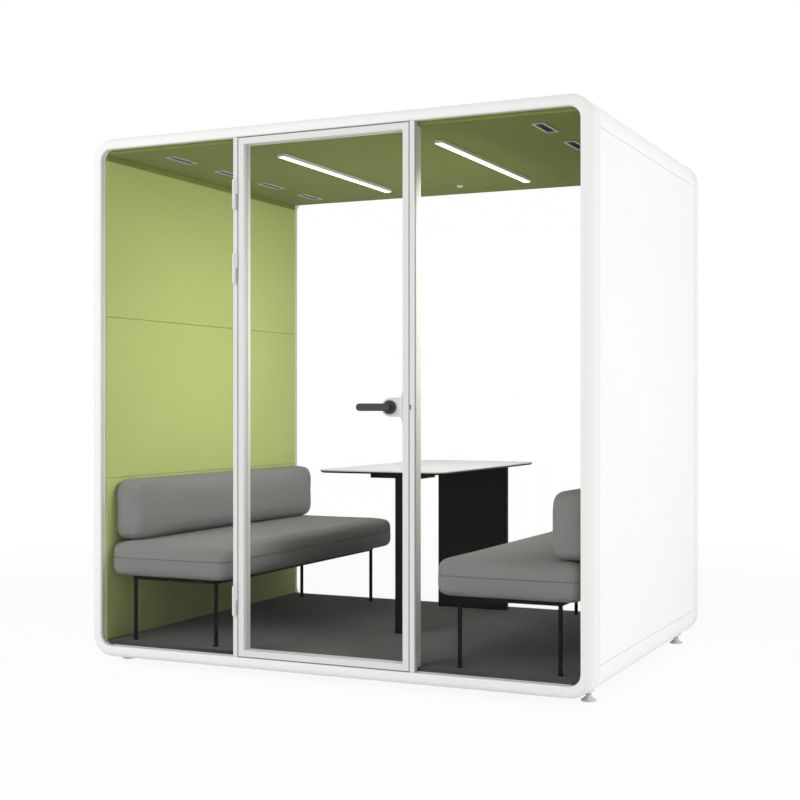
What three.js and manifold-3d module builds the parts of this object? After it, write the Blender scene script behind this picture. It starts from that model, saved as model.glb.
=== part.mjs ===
import * as THREE from 'three';
import { mergeVertices } from 'three/addons/utils/BufferGeometryUtils.js';
import Module from 'manifold-3d';

// Acoustic office pod with a glazed door, two benches and a table.
// Millimetres, +Z up. X runs across the front, Y from the front to the back.

// Overall size
const WIDTH = 2280;
const DEPTH = 1770;
const HEIGHT = 2300;

// Ring frames at the front and the back
const RING_FACE = 48;
const RING_DEPTH = 100;
const RING_LIP = 36;
const RING_CORNER = 95;
const RING_OUTER_ROUND = 28;
const RING_INNER_ROUND = 8;

// Outer skin between the rings
const SKIN = 30;
const ROOF = 18;
const EDGE_DROP = 23;
const SEAM = 0.8;
const FIT = 0.3;

// Lining
const WALL_PROUD = 7;
const FLOOR_STEP = 16;
const CARPET = 14;
const CEILING_DROP = 15;
const CEILING = 18;
const LINING_BEARING = 12;
const FELT_SEAM = 0.9;
const FELT_ROWS = ['low', 'mid', 'high'];

// Levelling feet
const FOOT_HEIGHT = 35;
const FOOT_DISC = 60;
const FOOT_DISC_EDGE = 6;
const FOOT_STEM = 24;
const FOOT_STUD = 12;
const FOOT_STUD_LENGTH = 30;
const FOOT_BOSS = 44;
const FOOT_SIDE_INSET = 70;
const FOOT_END_INSET = 180;

// Glazing
const GLASS = 7;
const GLASS_BITE = 6;
const GASKET_DEPTH = 13;
const GASKET_BITE = 9;
const GASKET_LIP = 1;
const GASKET_SETBACK = 1;

// Door and its posts
const DOOR_WIDTH = 781;
const DOOR_DEPTH = 55;
const DOOR_RECESS = 4;
const DOOR_GAP = 4;
const DOOR_FRAME = 27;
const POST_FACE = 20;
const POST_DEPTH = 64;

// Door hinges
const HINGE_RADIUS = 8.5;
const HINGE_HEIGHT = 122;
const HINGE_STANDOFF = 0.5;
const HINGE_NECK = 8;
const HINGE_PIN_RADIUS = 4;
const HINGE_PIN_LENGTH = 50;
const HINGE_LEAF_LENGTH = 40;
const HINGE_LEAF_PLAY = 0.8;
const HINGE_FROM_TOP = 287;
const HINGE_PITCH = 308;
const HINGE_FROM_BOTTOM = 284;

// Lock, lever handles and latch bolt
const HANDLE_HEIGHT = 1027;
const LOCK_REACH = 53.5;
const LOCK_RADIUS = 38;
const LOCK_FILLET = 22;
const LOCK_CLEARANCE = 0.5;
const HUB_RADIUS = 27.5;
const HUB = 10;
const NECK_RADIUS = 9;
const NECK_LENGTH = 26;
const LEVER_LENGTH = 128;
const LEVER_HEIGHT = 30;
const LEVER_DEPTH = 13;
const SPINDLE_RADIUS = 6;
const SPINDLE_SOCKET = 7;
const BOLT_DEPTH = 12;
const BOLT_HEIGHT = 16;
const BOLT_THROW = 9;
const BOLT_PLAY = 1.5;
const KEEP_PLAY = 2;

// Benches
const KNEE_GAP = 180;
const SEAT_WALL_GAP = 5;
const SEAT_END_GAP = 42;
const SEAT_BASE = 285;
const SEAT_PAD = 155;
const BACK_GAP = 1;
const BACK_HEIGHT = 272;
const BACK_PAD = 150;
const BACK_END_GAP = 84;
const SEAT_CROWN = 6;
const SEAT_EDGE = 46;
const SEAT_CORNER = 54;
const SEAT_SEAM = 80;
const BACK_CROWN = 10;
const BACK_EDGE = 42;
const BACK_CORNER = 66;
const DRAW_IN = 3;
const SEAM_DEPTH = 3;
const SEAM_HALF = 5;
const LEG_RADIUS = 9;
const RAIL = 17;
const LEG_FRONT_INSET = 85;
const LEG_WALL_INSET = 99;
const LEG_END_INSET = 88;
const LEG_FORWARD = 22;

// Table
const TABLE_WIDTH = 600;
const TABLE_MID = 18;
const TABLE_HEIGHT = 748;
const TABLE_FRONT = 480;
const TABLE_BACK_GAP = 50;
const TABLE_CORNER = 60;
const TABLE_TOP = 13;
const TABLE_BEVEL = 8;
const TABLE_POST_WIDTH = 52;
const TABLE_POST_LENGTH = 60;
const TABLE_POST_SETBACK = 249;
const TABLE_PLATE = 28;
const TABLE_PLATE_WIDTH = 250;
const TABLE_PLATE_LENGTH = 160;
const TABLE_PANEL = 28;
const TABLE_PANEL_WIDTH = 374;
const TABLE_PANEL_SETBACK = 92;

// Lights and ceiling sensor
const LIGHT_SPACING = 750;
const LIGHT_LENGTH = 1100;
const LIGHT_WIDTH = 38;
const LIGHT_HEIGHT = 14;
const LIGHT_WALL = 3;
const DIFFUSER_PROUD = 1.5;
const SENSOR_RADIUS = 16.5;
const SENSOR_DROP = 9;
const SENSOR_STEM = 5;
const SENSOR_FROM_BACK = 290;

// Air ducts, vents and fans
const VENT_WIDTH = 42;
const VENT_LENGTH = 178;
const VENT_FROM_WALL = 225;
const VENT_FROM_END = 249;
const VENT_COUNT = 4;
const VENT_RIM = 5;
const VENT_RIM_THICKNESS = 3;
const VENT_SLATS = 3;
const VENT_SLAT_WIDTH = 11;
const VENT_SLAT_THICKNESS = 2;
const VENT_SLAT_TILT = 35;
const DUCT_WIDTH = 130;
const DUCT_WALL = 3;
const DUCT_END = 30;
const FAN_STUB_RADIUS = 4;
const FAN_HUB_RADIUS = 18;
const FAN_CLEARANCE = 8;
const FAN_LIFT = 2;
const FAN_BLADES = 7;
const FAN_BLADE_THICKNESS = 2;
const FAN_BLADE_TILT = 38;
const EXHAUST_SLOTS = 5;
const EXHAUST_SLOT_WIDTH = 8;
const EXHAUST_SLOT_PITCH = 16;

// Power unit in the roof space, with its mains inlet
const POWER_WIDTH = 200;
const POWER_LENGTH = 110;
const INLET_WIDTH = 50;
const INLET_LENGTH = 30;
const INLET_WALL = 4;
const INLET_DEPTH = 12;
const INLET_RECESS = 2;

// Facets: steps per quarter turn, and sides of round pieces
const ARC_STEPS = 6;
const EDGE_STEPS = 4;
const PAD_STEPS = 3;
const ROUND_SIDES = 16;
const LEG_SIDES = 12;

// Levels and planes that the pieces share
const QUARTER = Math.PI / 2;
const halfWidth = WIDTH / 2;
const midDepth = DEPTH / 2;
const ringBottom = FOOT_HEIGHT;
const ringTop = HEIGHT;
const innerSide = halfWidth - RING_FACE;
const innerBottom = ringBottom + RING_FACE;
const innerTop = ringTop - RING_FACE;
const innerCorner = RING_CORNER - RING_FACE;
const skinInner = halfWidth - SKIN;
const skinFront = RING_DEPTH + SEAM;
const skinBack = DEPTH - skinFront;
const edgeTop = ringBottom + RING_CORNER + EDGE_DROP;
const edgeBottom = ringTop - RING_CORNER - EDGE_DROP;
const wallInner = innerSide - WALL_PROUD;
const wallOuter = skinInner - FIT;
const carpetTop = innerBottom + FLOOR_STEP;
const slabTop = carpetTop - CARPET - FIT;
const ceilingUnder = innerTop - CEILING_DROP;
const ceilingTop = ceilingUnder + CEILING;
const roofUnder = ringTop - ROOF;
const liningFront = RING_LIP + FIT;
const liningBack = DEPTH - liningFront;
const liningHalf = wallInner + LINING_BEARING;
const glassMid = RING_INNER_ROUND + GASKET_SETBACK + GASKET_DEPTH / 2;

const doorHalf = DOOR_WIDTH / 2;
const doorFront = DOOR_RECESS;
const doorBack = doorFront + DOOR_DEPTH;
const doorMid = (doorFront + doorBack) / 2;
const doorBottom = innerBottom + DOOR_GAP;
const doorTop = innerTop - DOOR_GAP;
const stileInner = doorHalf - DOOR_FRAME;
const postInner = doorHalf + DOOR_GAP;
const postOuter = postInner + POST_FACE;
const postBack = doorFront + POST_DEPTH;
const handleX = stileInner - LOCK_REACH;
const handleZ = carpetTop + HANDLE_HEIGHT;
const boltTail = handleX + SPINDLE_RADIUS + BOLT_THROW + BOLT_PLAY;
const boltNose = doorHalf + BOLT_THROW;
const leverProud = FIT + HUB + NECK_LENGTH + LEVER_DEPTH - doorFront;

const seatFront = TABLE_WIDTH / 2 + KNEE_GAP;
const seatWall = wallInner - SEAT_WALL_GAP;
const seatHalf = midDepth - SEAT_END_GAP;
const seatBottom = carpetTop + SEAT_BASE;
const backBottom = seatBottom + SEAT_PAD + BACK_GAP;
const tableTop = carpetTop + TABLE_HEIGHT;
const tableUnder = tableTop - TABLE_TOP;
const tableBack = DEPTH - TABLE_BACK_GAP;

const ductBottom = ceilingTop + FIT;
const ductTop = roofUnder - FIT;
const ductX = wallInner - VENT_FROM_WALL;
const ductInner = DUCT_WIDTH / 2 - DUCT_WALL;
const fanRadius = ductInner - FAN_CLEARANCE;
const ventReach = midDepth - liningFront - VENT_FROM_END;
const ventPlaces = Array.from({ length: VENT_COUNT }, (_, i) => ventReach * (2 * i / (VENT_COUNT - 1) - 1));

const FINISHES = {
  whiteFrame: { color: 0xe8e8e6, roughness: 0.35, metalness: 0 },
  whitePanel: { color: 0xf4f4f2, roughness: 0.4, metalness: 0 },
  felt: { color: 0xa9b96b, roughness: 0.95, metalness: 0 },
  carpet: { color: 0x3c3c3a, roughness: 1, metalness: 0 },
  glass: { color: 0xf4f8f6, roughness: 0.03, metalness: 0, transparent: true, opacity: 0.15 },
  rubber: { color: 0xc4c4c2, roughness: 0.8, metalness: 0 },
  blackSteel: { color: 0x1a1a19, roughness: 0.45, metalness: 0.2 },
  handle: { color: 0x40403d, roughness: 0.4, metalness: 0.5 },
  steel: { color: 0xb9bbbb, roughness: 0.35, metalness: 0.9 },
  upholstery: { color: 0x747572, roughness: 0.95, metalness: 0 },
  tableWhite: { color: 0xf0f0ee, roughness: 0.35, metalness: 0 },
  lightBody: { color: 0xd8d8d4, roughness: 0.4, metalness: 0.3 },
  diffuser: { color: 0xffffff, roughness: 0.5, metalness: 0 },
  duct: { color: 0x9aa0a4, roughness: 0.6, metalness: 0.1 },
  fan: { color: 0x303234, roughness: 0.5, metalness: 0 },
};

const wasm = await Module();
wasm.setup();

/** Turns a closed geometry into a solid: shared vertices merged, collapsed triangles dropped. */
function solid(geometry) {
  const bare = geometry.clone();
  bare.deleteAttribute('normal');
  bare.deleteAttribute('uv');
  const merged = mergeVertices(bare);
  const corners = merged.index.array;
  const kept = [];
  for (let i = 0; i < corners.length; i += 3) {
    const [a, b, c] = [corners[i], corners[i + 1], corners[i + 2]];
    if (a !== b && b !== c && c !== a) kept.push(a, b, c);
  }
  const vertProperties = new Float32Array(merged.attributes.position.array);
  return new wasm.Manifold(new wasm.Mesh({ numProp: 3, vertProperties, triVerts: new Uint32Array(kept) }));
}

/** Geometry of a solid. */
function surface(body) {
  const mesh = body.getMesh();
  const geometry = new THREE.BufferGeometry();
  geometry.setAttribute('position', new THREE.BufferAttribute(mesh.vertProperties, 3));
  geometry.setIndex(new THREE.BufferAttribute(mesh.triVerts, 1));
  return geometry;
}

function join(first, ...others) {
  return surface(others.reduce((body, other) => body.add(solid(other)), solid(first)));
}

function cut(first, ...tools) {
  return surface(tools.reduce((body, tool) => body.subtract(solid(tool)), solid(first)));
}

function box(x0, x1, y0, y1, z0, z1) {
  const geometry = new THREE.BoxGeometry(x1 - x0, y1 - y0, z1 - z0);
  return geometry.translate((x0 + x1) / 2, (y0 + y1) / 2, (z0 + z1) / 2);
}

function rodZ(radius, z0, z1, sides = ROUND_SIDES) {
  const geometry = new THREE.CylinderGeometry(radius, radius, z1 - z0, sides);
  return geometry.rotateX(QUARTER).translate(0, 0, (z0 + z1) / 2);
}

function rodY(radius, y0, y1) {
  return new THREE.CylinderGeometry(radius, radius, y1 - y0, ROUND_SIDES).translate(0, (y0 + y1) / 2, 0);
}

function extrude(shape, depth) {
  return new THREE.ExtrudeGeometry(shape, { depth, bevelEnabled: false, curveSegments: ARC_STEPS / 2 });
}

/** Prism of an outline drawn in X and Z. */
function prismY(shape, y0, y1) {
  return extrude(shape, y1 - y0).rotateX(QUARTER).translate(0, y1, 0);
}

/** Prism of an outline drawn in X and Y. */
function prismZ(shape, z0, z1) {
  return extrude(shape, z1 - z0).translate(0, 0, z0);
}

/** Prism of an outline drawn in Y and Z. */
function prismX(shape, x0, x1) {
  const turn = new THREE.Matrix4().makeBasis(
    new THREE.Vector3(0, 1, 0), new THREE.Vector3(0, 0, 1), new THREE.Vector3(1, 0, 0));
  return extrude(shape, x1 - x0).applyMatrix4(turn).translate(x0, 0, 0);
}

/** Solid of revolution about Z from points of (radius, height) that start and end on the axis. */
function turned(points) {
  const profile = points.map(([radius, height]) => new THREE.Vector2(radius, height));
  return new THREE.LatheGeometry(profile, ROUND_SIDES).rotateX(QUARTER);
}

function corner(shape, x, y, radius, start) {
  if (radius > 0) shape.absarc(x, y, radius, start, start + QUARTER, false);
  else shape.lineTo(x, y);
}

/** Rectangle whose left and right corners have radii of their own. */
function rectangle(left, right, bottom, top, leftRadius = 0, rightRadius = leftRadius) {
  const shape = new THREE.Shape();
  shape.moveTo(left + leftRadius, bottom);
  corner(shape, right - rightRadius, bottom + rightRadius, rightRadius, -QUARTER);
  corner(shape, right - rightRadius, top - rightRadius, rightRadius, 0);
  corner(shape, left + leftRadius, top - leftRadius, leftRadius, QUARTER);
  corner(shape, left + leftRadius, bottom + leftRadius, leftRadius, 2 * QUARTER);
  return shape;
}

function polygon(points) {
  return new THREE.Shape(points.map(([x, y]) => new THREE.Vector2(x, y)));
}

function part(name, geometry, finish) {
  const mesh = new THREE.Mesh(geometry, new THREE.MeshStandardMaterial({ ...finish, flatShading: true }));
  mesh.name = name;
  return mesh;
}

function placed(object, x, y, z) {
  object.position.set(x, y, z);
  return object;
}

/** One group per side: the left one is the right one turned half round about the middle of the pod. */
function sides(build) {
  return ['right', 'left'].map((side, turns) => {
    const group = placed(new THREE.Group(), 0, midDepth, 0);
    group.rotation.z = turns * Math.PI;
    group.add(...build(side));
    return group;
  });
}

/** Closed loop of a section of (inset, depth) points swept round the pod's rounded outline. */
function ringLoop(section) {
  const positions = [];
  const indices = [];
  const count = section.length;
  const stations = 4 * (ARC_STEPS + 1);
  const reachX = halfWidth - RING_CORNER;
  const reachZ = (ringTop - ringBottom) / 2 - RING_CORNER;
  const midZ = (ringTop + ringBottom) / 2;
  for (let quadrant = 0; quadrant < 4; quadrant += 1) {
    const sideX = quadrant === 0 || quadrant === 3 ? reachX : -reachX;
    const sideZ = quadrant < 2 ? reachZ : -reachZ;
    for (let step = 0; step <= ARC_STEPS; step += 1) {
      const angle = (quadrant + step / ARC_STEPS) * QUARTER;
      for (const { x: inset, y: depth } of section) {
        const radius = RING_CORNER - inset;
        positions.push(sideX + Math.cos(angle) * radius, depth, midZ + sideZ + Math.sin(angle) * radius);
      }
    }
  }
  for (let i = 0; i < stations; i += 1) {
    for (let j = 0; j < count; j += 1) {
      const a = i * count + j;
      const b = ((i + 1) % stations) * count + j;
      const c = ((i + 1) % stations) * count + (j + 1) % count;
      const d = i * count + (j + 1) % count;
      indices.push(a, b, c, a, c, d);
    }
  }
  const geometry = new THREE.BufferGeometry();
  geometry.setAttribute('position', new THREE.Float32BufferAttribute(positions, 3));
  geometry.setIndex(indices);
  return geometry;
}

/** Ring frame at the front: rounded face, deep lip for the glass, thinner skirt round the lining. */
function ringFrame() {
  const section = new THREE.Shape();
  section.moveTo(0, RING_DEPTH);
  section.lineTo(0, RING_OUTER_ROUND);
  section.absarc(RING_OUTER_ROUND, RING_OUTER_ROUND, RING_OUTER_ROUND, 2 * QUARTER, 3 * QUARTER, false);
  const inner = RING_INNER_ROUND;
  section.absarc(RING_FACE - inner, inner, inner, 3 * QUARTER, 4 * QUARTER, false);
  section.lineTo(RING_FACE, RING_DEPTH);
  const stepCorner = RING_FACE + Math.min(FLOOR_STEP, CEILING_DROP) - SKIN;
  const skirt = rectangle(-skinInner, skinInner, ringBottom + SKIN, ringTop - SKIN, stepCorner);
  return cut(ringLoop(section.getPoints(EDGE_STEPS / 2)), prismY(skirt, RING_LIP, RING_DEPTH + SEAM));
}

/** Glass, its U-shaped gasket and the groove that holds them, for one opening. */
function glazing({ left, right, bottom, top, leftRadius, rightRadius }, mid) {
  const grown = (radius, grow) => (radius > 0 ? radius + grow : 0);
  const layer = (grow, reach) => prismY(
    rectangle(left - grow, right + grow, bottom - grow, top + grow,
      grown(leftRadius, grow), grown(rightRadius, grow)), mid - reach, mid + reach);
  const reach = GASKET_DEPTH / 2;
  const glass = layer(GLASS_BITE, GLASS / 2);
  const pocket = layer(GLASS_BITE + FIT, GLASS / 2 + FIT);
  const gasket = cut(layer(GASKET_BITE, reach), layer(-GASKET_LIP, reach + FIT), pocket);
  return { glass, gasket, groove: layer(GASKET_BITE + FIT, reach + FIT) };
}

function opening(left, right, leftRadius, rightRadius) {
  return { left, right, bottom: innerBottom, top: innerTop, leftRadius, rightRadius };
}

/** Plan of a floor or ceiling layer, cut back behind the door leaf. */
function layerPlan(half) {
  const recess = postInner - FIT;
  const clear = doorBack + DOOR_GAP;
  return polygon([
    [-half, liningFront], [-recess, liningFront], [-recess, clear], [recess, clear], [recess, liningFront],
    [half, liningFront], [half, liningBack], [-half, liningBack],
  ]);
}

function footPlaces() {
  const x = halfWidth - FOOT_SIDE_INSET;
  return [
    ['front_left', -x, FOOT_END_INSET], ['front_right', x, FOOT_END_INSET],
    ['rear_left', -x, DEPTH - FOOT_END_INSET], ['rear_right', x, DEPTH - FOOT_END_INSET],
  ];
}

/** Base: floor slab with turned-up edges, a front and rear tongue on the rings, and bosses for the feet. */
function baseTray() {
  const cornerX = halfWidth - RING_CORNER;
  const cornerZ = ringBottom + RING_CORNER;
  const tray = new THREE.Shape();
  tray.moveTo(-halfWidth, edgeTop);
  tray.lineTo(-halfWidth, cornerZ);
  tray.absarc(-cornerX, cornerZ, RING_CORNER, 2 * QUARTER, 3 * QUARTER, false);
  tray.absarc(cornerX, cornerZ, RING_CORNER, 3 * QUARTER, 4 * QUARTER, false);
  tray.lineTo(halfWidth, edgeTop);
  tray.lineTo(skinInner, edgeTop);
  tray.lineTo(skinInner, slabTop);
  tray.lineTo(-skinInner, slabTop);
  tray.lineTo(-skinInner, edgeTop);
  const tongue = prismZ(layerPlan(cornerX), ringBottom + SKIN + FIT, slabTop);
  const bosses = footPlaces().map(([, x, y]) =>
    rodZ(FOOT_BOSS / 2, ringBottom, slabTop - FIT).translate(x, y, 0));
  const holes = footPlaces().map(([, x, y]) =>
    rodZ(FOOT_STUD / 2 + FIT, ringBottom - FIT, ringBottom + FOOT_STUD_LENGTH + FIT).translate(x, y, 0));
  return cut(join(prismY(tray, skinFront, skinBack), tongue, ...bosses), ...holes);
}

/** Roof with turned-down edges, exhaust slots over the fans and a cut-out for the mains inlet. */
function roofShell() {
  const inside = ringTop - ceilingUnder - ROOF;
  const roof = new THREE.Shape();
  roof.moveTo(-halfWidth, edgeBottom);
  roof.lineTo(-halfWidth, ringTop - RING_CORNER);
  roof.absarc(RING_CORNER - halfWidth, ringTop - RING_CORNER, RING_CORNER, 2 * QUARTER, QUARTER, true);
  roof.absarc(halfWidth - RING_CORNER, ringTop - RING_CORNER, RING_CORNER, QUARTER, 0, true);
  roof.lineTo(halfWidth, edgeBottom);
  roof.lineTo(skinInner, edgeBottom);
  roof.absarc(skinInner - inside, roofUnder - inside, inside, 0, QUARTER, false);
  roof.absarc(inside - skinInner, roofUnder - inside, inside, QUARTER, 2 * QUARTER, false);
  roof.lineTo(-skinInner, edgeBottom);
  const slots = [-ductX, ductX].flatMap((x) => Array.from({ length: EXHAUST_SLOTS }, (_, i) => {
    const middle = x + (i - (EXHAUST_SLOTS - 1) / 2) * EXHAUST_SLOT_PITCH;
    const half = EXHAUST_SLOT_WIDTH / 2;
    return box(middle - half, middle + half, midDepth - fanRadius, midDepth + fanRadius,
      roofUnder - FIT, ringTop + FIT);
  }));
  const inletX = INLET_WIDTH / 2 + FIT;
  const inletY = INLET_LENGTH / 2 + FIT;
  const inlet = box(-inletX, inletX, midDepth - inletY, midDepth + inletY, roofUnder - FIT, ringTop + FIT);
  return cut(prismY(roof, skinFront, skinBack), ...slots, inlet);
}

function foot() {
  const disc = FOOT_DISC / 2;
  const stem = FOOT_STEM / 2;
  const stud = FOOT_STUD / 2;
  const seat = FOOT_HEIGHT - FIT;
  return turned([
    [0, 0], [disc, 0], [disc, FOOT_DISC_EDGE], [disc - FOOT_DISC_EDGE, FOOT_DISC_EDGE + FIT],
    [(disc + stem) / 2, FOOT_HEIGHT / 3], [stem, FOOT_HEIGHT / 2], [stem, seat], [stud, seat],
    [stud, seat + FOOT_STUD_LENGTH], [0, seat + FOOT_STUD_LENGTH],
  ]);
}

function shell() {
  const group = new THREE.Group();
  const cornerGlass = opening(-innerSide, innerSide, innerCorner, innerCorner);
  const left = glazing(opening(-innerSide, -postOuter, innerCorner, 0), glassMid);
  const right = glazing(opening(postOuter, innerSide, 0, innerCorner), glassMid);
  const back = glazing(cornerGlass, glassMid);
  const rear = placed(new THREE.Group(), 0, DEPTH, 0);
  rear.rotation.z = Math.PI;
  rear.add(
    part('rear_ring', cut(ringFrame(), back.groove), FINISHES.whiteFrame),
    part('back_gasket', back.gasket, FINISHES.rubber),
    part('back_glass', back.glass, FINISHES.glass));
  group.add(
    part('front_ring', cut(ringFrame(), left.groove, right.groove), FINISHES.whiteFrame),
    part('front_gasket_left', left.gasket, FINISHES.rubber),
    part('front_gasket_right', right.gasket, FINISHES.rubber),
    part('front_glass_left', left.glass, FINISHES.glass),
    part('front_glass_right', right.glass, FINISHES.glass),
    part('door_post_left', cut(doorPost(-postOuter, -postInner), left.groove), FINISHES.whiteFrame),
    part('door_post_right',
      cut(doorPost(postInner, postOuter), right.groove, latchKeep()), FINISHES.whiteFrame),
    rear,
    part('roof_shell', roofShell(), FINISHES.whitePanel),
    part('base_tray', baseTray(), FINISHES.whitePanel));
  const reach = skinBack - midDepth;
  group.add(...sides((side) => [
    part(`side_panel_${side}`,
      box(skinInner, halfWidth, -reach, reach, edgeTop + SEAM, edgeBottom - SEAM), FINISHES.whitePanel),
  ]));
  for (const [name, x, y] of footPlaces()) {
    group.add(placed(part(`foot_${name}`, foot(), FINISHES.whiteFrame), x, y, 0));
  }
  return group;
}

/** Felt walls in equal rows, felt ceiling with vent and sensor holes, and carpet. */
function lining() {
  const group = new THREE.Group();
  const wallBottom = carpetTop + FIT;
  const pitch = (ceilingUnder - FIT - wallBottom + FELT_SEAM) / FELT_ROWS.length;
  const front = liningFront - midDepth;
  group.add(...sides((side) => FELT_ROWS.map((row, i) => {
    const bottom = wallBottom + i * pitch;
    return part(`wall_panel_${side}_${row}`,
      box(wallInner, wallOuter, front, -front, bottom, bottom + pitch - FELT_SEAM), FINISHES.felt);
  })));
  const ventX = VENT_WIDTH / 2 + FIT;
  const ventY = VENT_LENGTH / 2 + FIT;
  const holes = [-ductX, ductX].flatMap((x) => ventPlaces.map((y) => box(x - ventX, x + ventX,
    midDepth + y - ventY, midDepth + y + ventY, ceilingUnder - FIT, ceilingTop + FIT)));
  const sensorHole = rodZ(SENSOR_STEM + FIT, ceilingUnder - FIT, ceilingTop + FIT);
  holes.push(sensorHole.translate(0, DEPTH - SENSOR_FROM_BACK, 0));
  const plan = layerPlan(liningHalf);
  group.add(
    part('ceiling_panel', cut(prismZ(plan, ceilingUnder, ceilingTop), ...holes), FINISHES.felt),
    part('carpet', prismZ(plan, slabTop + FIT, carpetTop), FINISHES.carpet));
  return group;
}

/** Post beside the door: full height at the ring's lip, shorter where it stands on the carpet. */
function doorPost(x0, x1) {
  return prismX(polygon([
    [doorFront, innerBottom + FIT], [RING_LIP, innerBottom + FIT], [RING_LIP, carpetTop + FIT],
    [postBack, carpetTop + FIT], [postBack, ceilingUnder - FIT], [RING_LIP, ceilingUnder - FIT],
    [RING_LIP, innerTop - FIT], [doorFront, innerTop - FIT],
  ]), x0, x1);
}

/** Keep in the right post that the latch bolt rests in; it is open towards the front. */
function latchKeep() {
  const reach = BOLT_HEIGHT / 2 + KEEP_PLAY;
  return box(doorHalf, boltNose + KEEP_PLAY, doorFront - FIT, doorMid + BOLT_DEPTH / 2 + KEEP_PLAY,
    handleZ - reach, handleZ + reach);
}

/** Outline of the lock case, a round tongue that flares into the stile at edge and may run on to end. */
function lockOutline(edge, grow, end) {
  const half = LOCK_RADIUS + grow;
  const fillet = LOCK_FILLET - grow;
  const shape = new THREE.Shape();
  shape.moveTo(end, handleZ + half + fillet);
  shape.lineTo(edge, handleZ + half + fillet);
  shape.absarc(edge - fillet, handleZ + half + fillet, fillet, 0, -QUARTER, true);
  shape.absarc(handleX, handleZ, half, QUARTER, 3 * QUARTER, false);
  shape.absarc(edge - fillet, handleZ - half - fillet, fillet, QUARTER, 0, true);
  shape.lineTo(end, handleZ - half - fillet);
  return shape;
}

/** Lever handle: hub on the door, neck and arm; it stands out towards -Y from the origin. */
function lever() {
  const neckStart = -FIT - HUB;
  const armBack = neckStart - NECK_LENGTH;
  const half = LEVER_HEIGHT / 2;
  const arm = rectangle(-LEVER_LENGTH, half, -half, half, half);
  return join(
    rodY(HUB_RADIUS, neckStart, -FIT),
    rodY(NECK_RADIUS, armBack - FIT, neckStart + FIT),
    prismY(arm, armBack - LEVER_DEPTH, armBack));
}

/** Lower half of a hinge: knuckle with its pin, and the neck that carries it on the post. */
function postKnuckle(axisY) {
  const half = HINGE_HEIGHT / 2;
  return join(
    rodZ(HINGE_RADIUS, -half, -FIT / 2),
    rodZ(HINGE_PIN_RADIUS, -half / 2, HINGE_PIN_LENGTH),
    box(-HINGE_NECK / 2, HINGE_NECK / 2, 0, doorFront - axisY - FIT, -half, -FIT));
}

/** Upper half of a hinge: bored knuckle with a leaf that runs back into the gap beside the door. */
function doorKnuckle() {
  const half = HINGE_HEIGHT / 2;
  const leaf = DOOR_GAP - 2 * HINGE_LEAF_PLAY;
  const leafX = POST_FACE / 2 + HINGE_LEAF_PLAY;
  const knuckle = join(
    rodZ(HINGE_RADIUS, FIT / 2, half),
    box(0, leafX + leaf, -leaf / 2, leaf / 2, FIT, half - FIT),
    box(leafX, leafX + leaf, -leaf / 2, HINGE_LEAF_LENGTH, FIT, half - FIT));
  return cut(knuckle, rodZ(HINGE_PIN_RADIUS + FIT, 0, HINGE_PIN_LENGTH + FIT));
}

function door() {
  const group = new THREE.Group();
  const pane = { left: -stileInner, right: stileInner, leftRadius: 0, rightRadius: 0,
    bottom: doorBottom + DOOR_FRAME, top: doorTop - DOOR_FRAME };
  const { glass, gasket, groove } = glazing(pane, doorMid);
  const boltY = BOLT_DEPTH / 2;
  const boltZ = BOLT_HEIGHT / 2;
  const bolt = (play, x0, x1) => box(x0, x1, doorMid - boltY - play, doorMid + boltY + play,
    handleZ - boltZ - play, handleZ + boltZ + play);
  const boltWay = bolt(FIT, boltTail - BOLT_THROW - FIT, doorHalf + FIT);
  const leaf = box(-doorHalf, doorHalf, doorFront, doorBack, doorBottom, doorTop);
  const light = box(pane.left, pane.right, doorFront - FIT, doorBack + FIT, pane.bottom, pane.top);
  const lockEdge = stileInner - FIT;
  const grooveEdge = stileInner + GASKET_BITE + FIT;
  const lockRoom = prismY(lockOutline(lockEdge, LOCK_CLEARANCE, grooveEdge), doorFront, doorBack);
  const spindleBore = rodY(SPINDLE_RADIUS + FIT, doorFront - FIT, doorBack + FIT);
  spindleBore.translate(handleX, 0, handleZ);
  const lockBody = prismY(lockOutline(lockEdge, 0, lockEdge), doorFront, doorBack);
  const spindle = rodY(SPINDLE_RADIUS, -FIT - HUB / 2, DOOR_DEPTH + SPINDLE_SOCKET);
  const socket = rodY(SPINDLE_RADIUS + FIT, -SPINDLE_SOCKET - FIT, FIT);
  const inner = part('lever_inner', cut(lever(), socket), FINISHES.handle);
  placed(inner, handleX, doorBack, handleZ);
  inner.rotation.x = Math.PI;
  group.add(
    part('door_frame', cut(leaf, light, groove, boltWay), FINISHES.whiteFrame),
    part('door_gasket', cut(gasket, lockRoom), FINISHES.rubber),
    part('door_glass', cut(glass, lockRoom), FINISHES.glass),
    part('lock_case', cut(lockBody, spindleBore, boltWay), FINISHES.whiteFrame),
    part('latch_bolt', bolt(0, boltTail, boltNose), FINISHES.steel),
    placed(part('lever_outer', join(lever(), spindle), FINISHES.handle), handleX, doorFront, handleZ),
    inner);
  const axisX = -(postInner + POST_FACE / 2);
  const axisY = doorFront - HINGE_RADIUS - HINGE_STANDOFF;
  const upper = ringTop - HINGE_FROM_TOP;
  const hinges = { top: upper, upper: upper - HINGE_PITCH, lower: ringBottom + HINGE_FROM_BOTTOM };
  for (const [name, z] of Object.entries(hinges)) {
    group.add(
      placed(part(`hinge_${name}_post_knuckle`, postKnuckle(axisY), FINISHES.whiteFrame), axisX, axisY, z),
      placed(part(`hinge_${name}_door_knuckle`, doorKnuckle(), FINISHES.whiteFrame), axisX, axisY, z));
  }
  return group;
}

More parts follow.
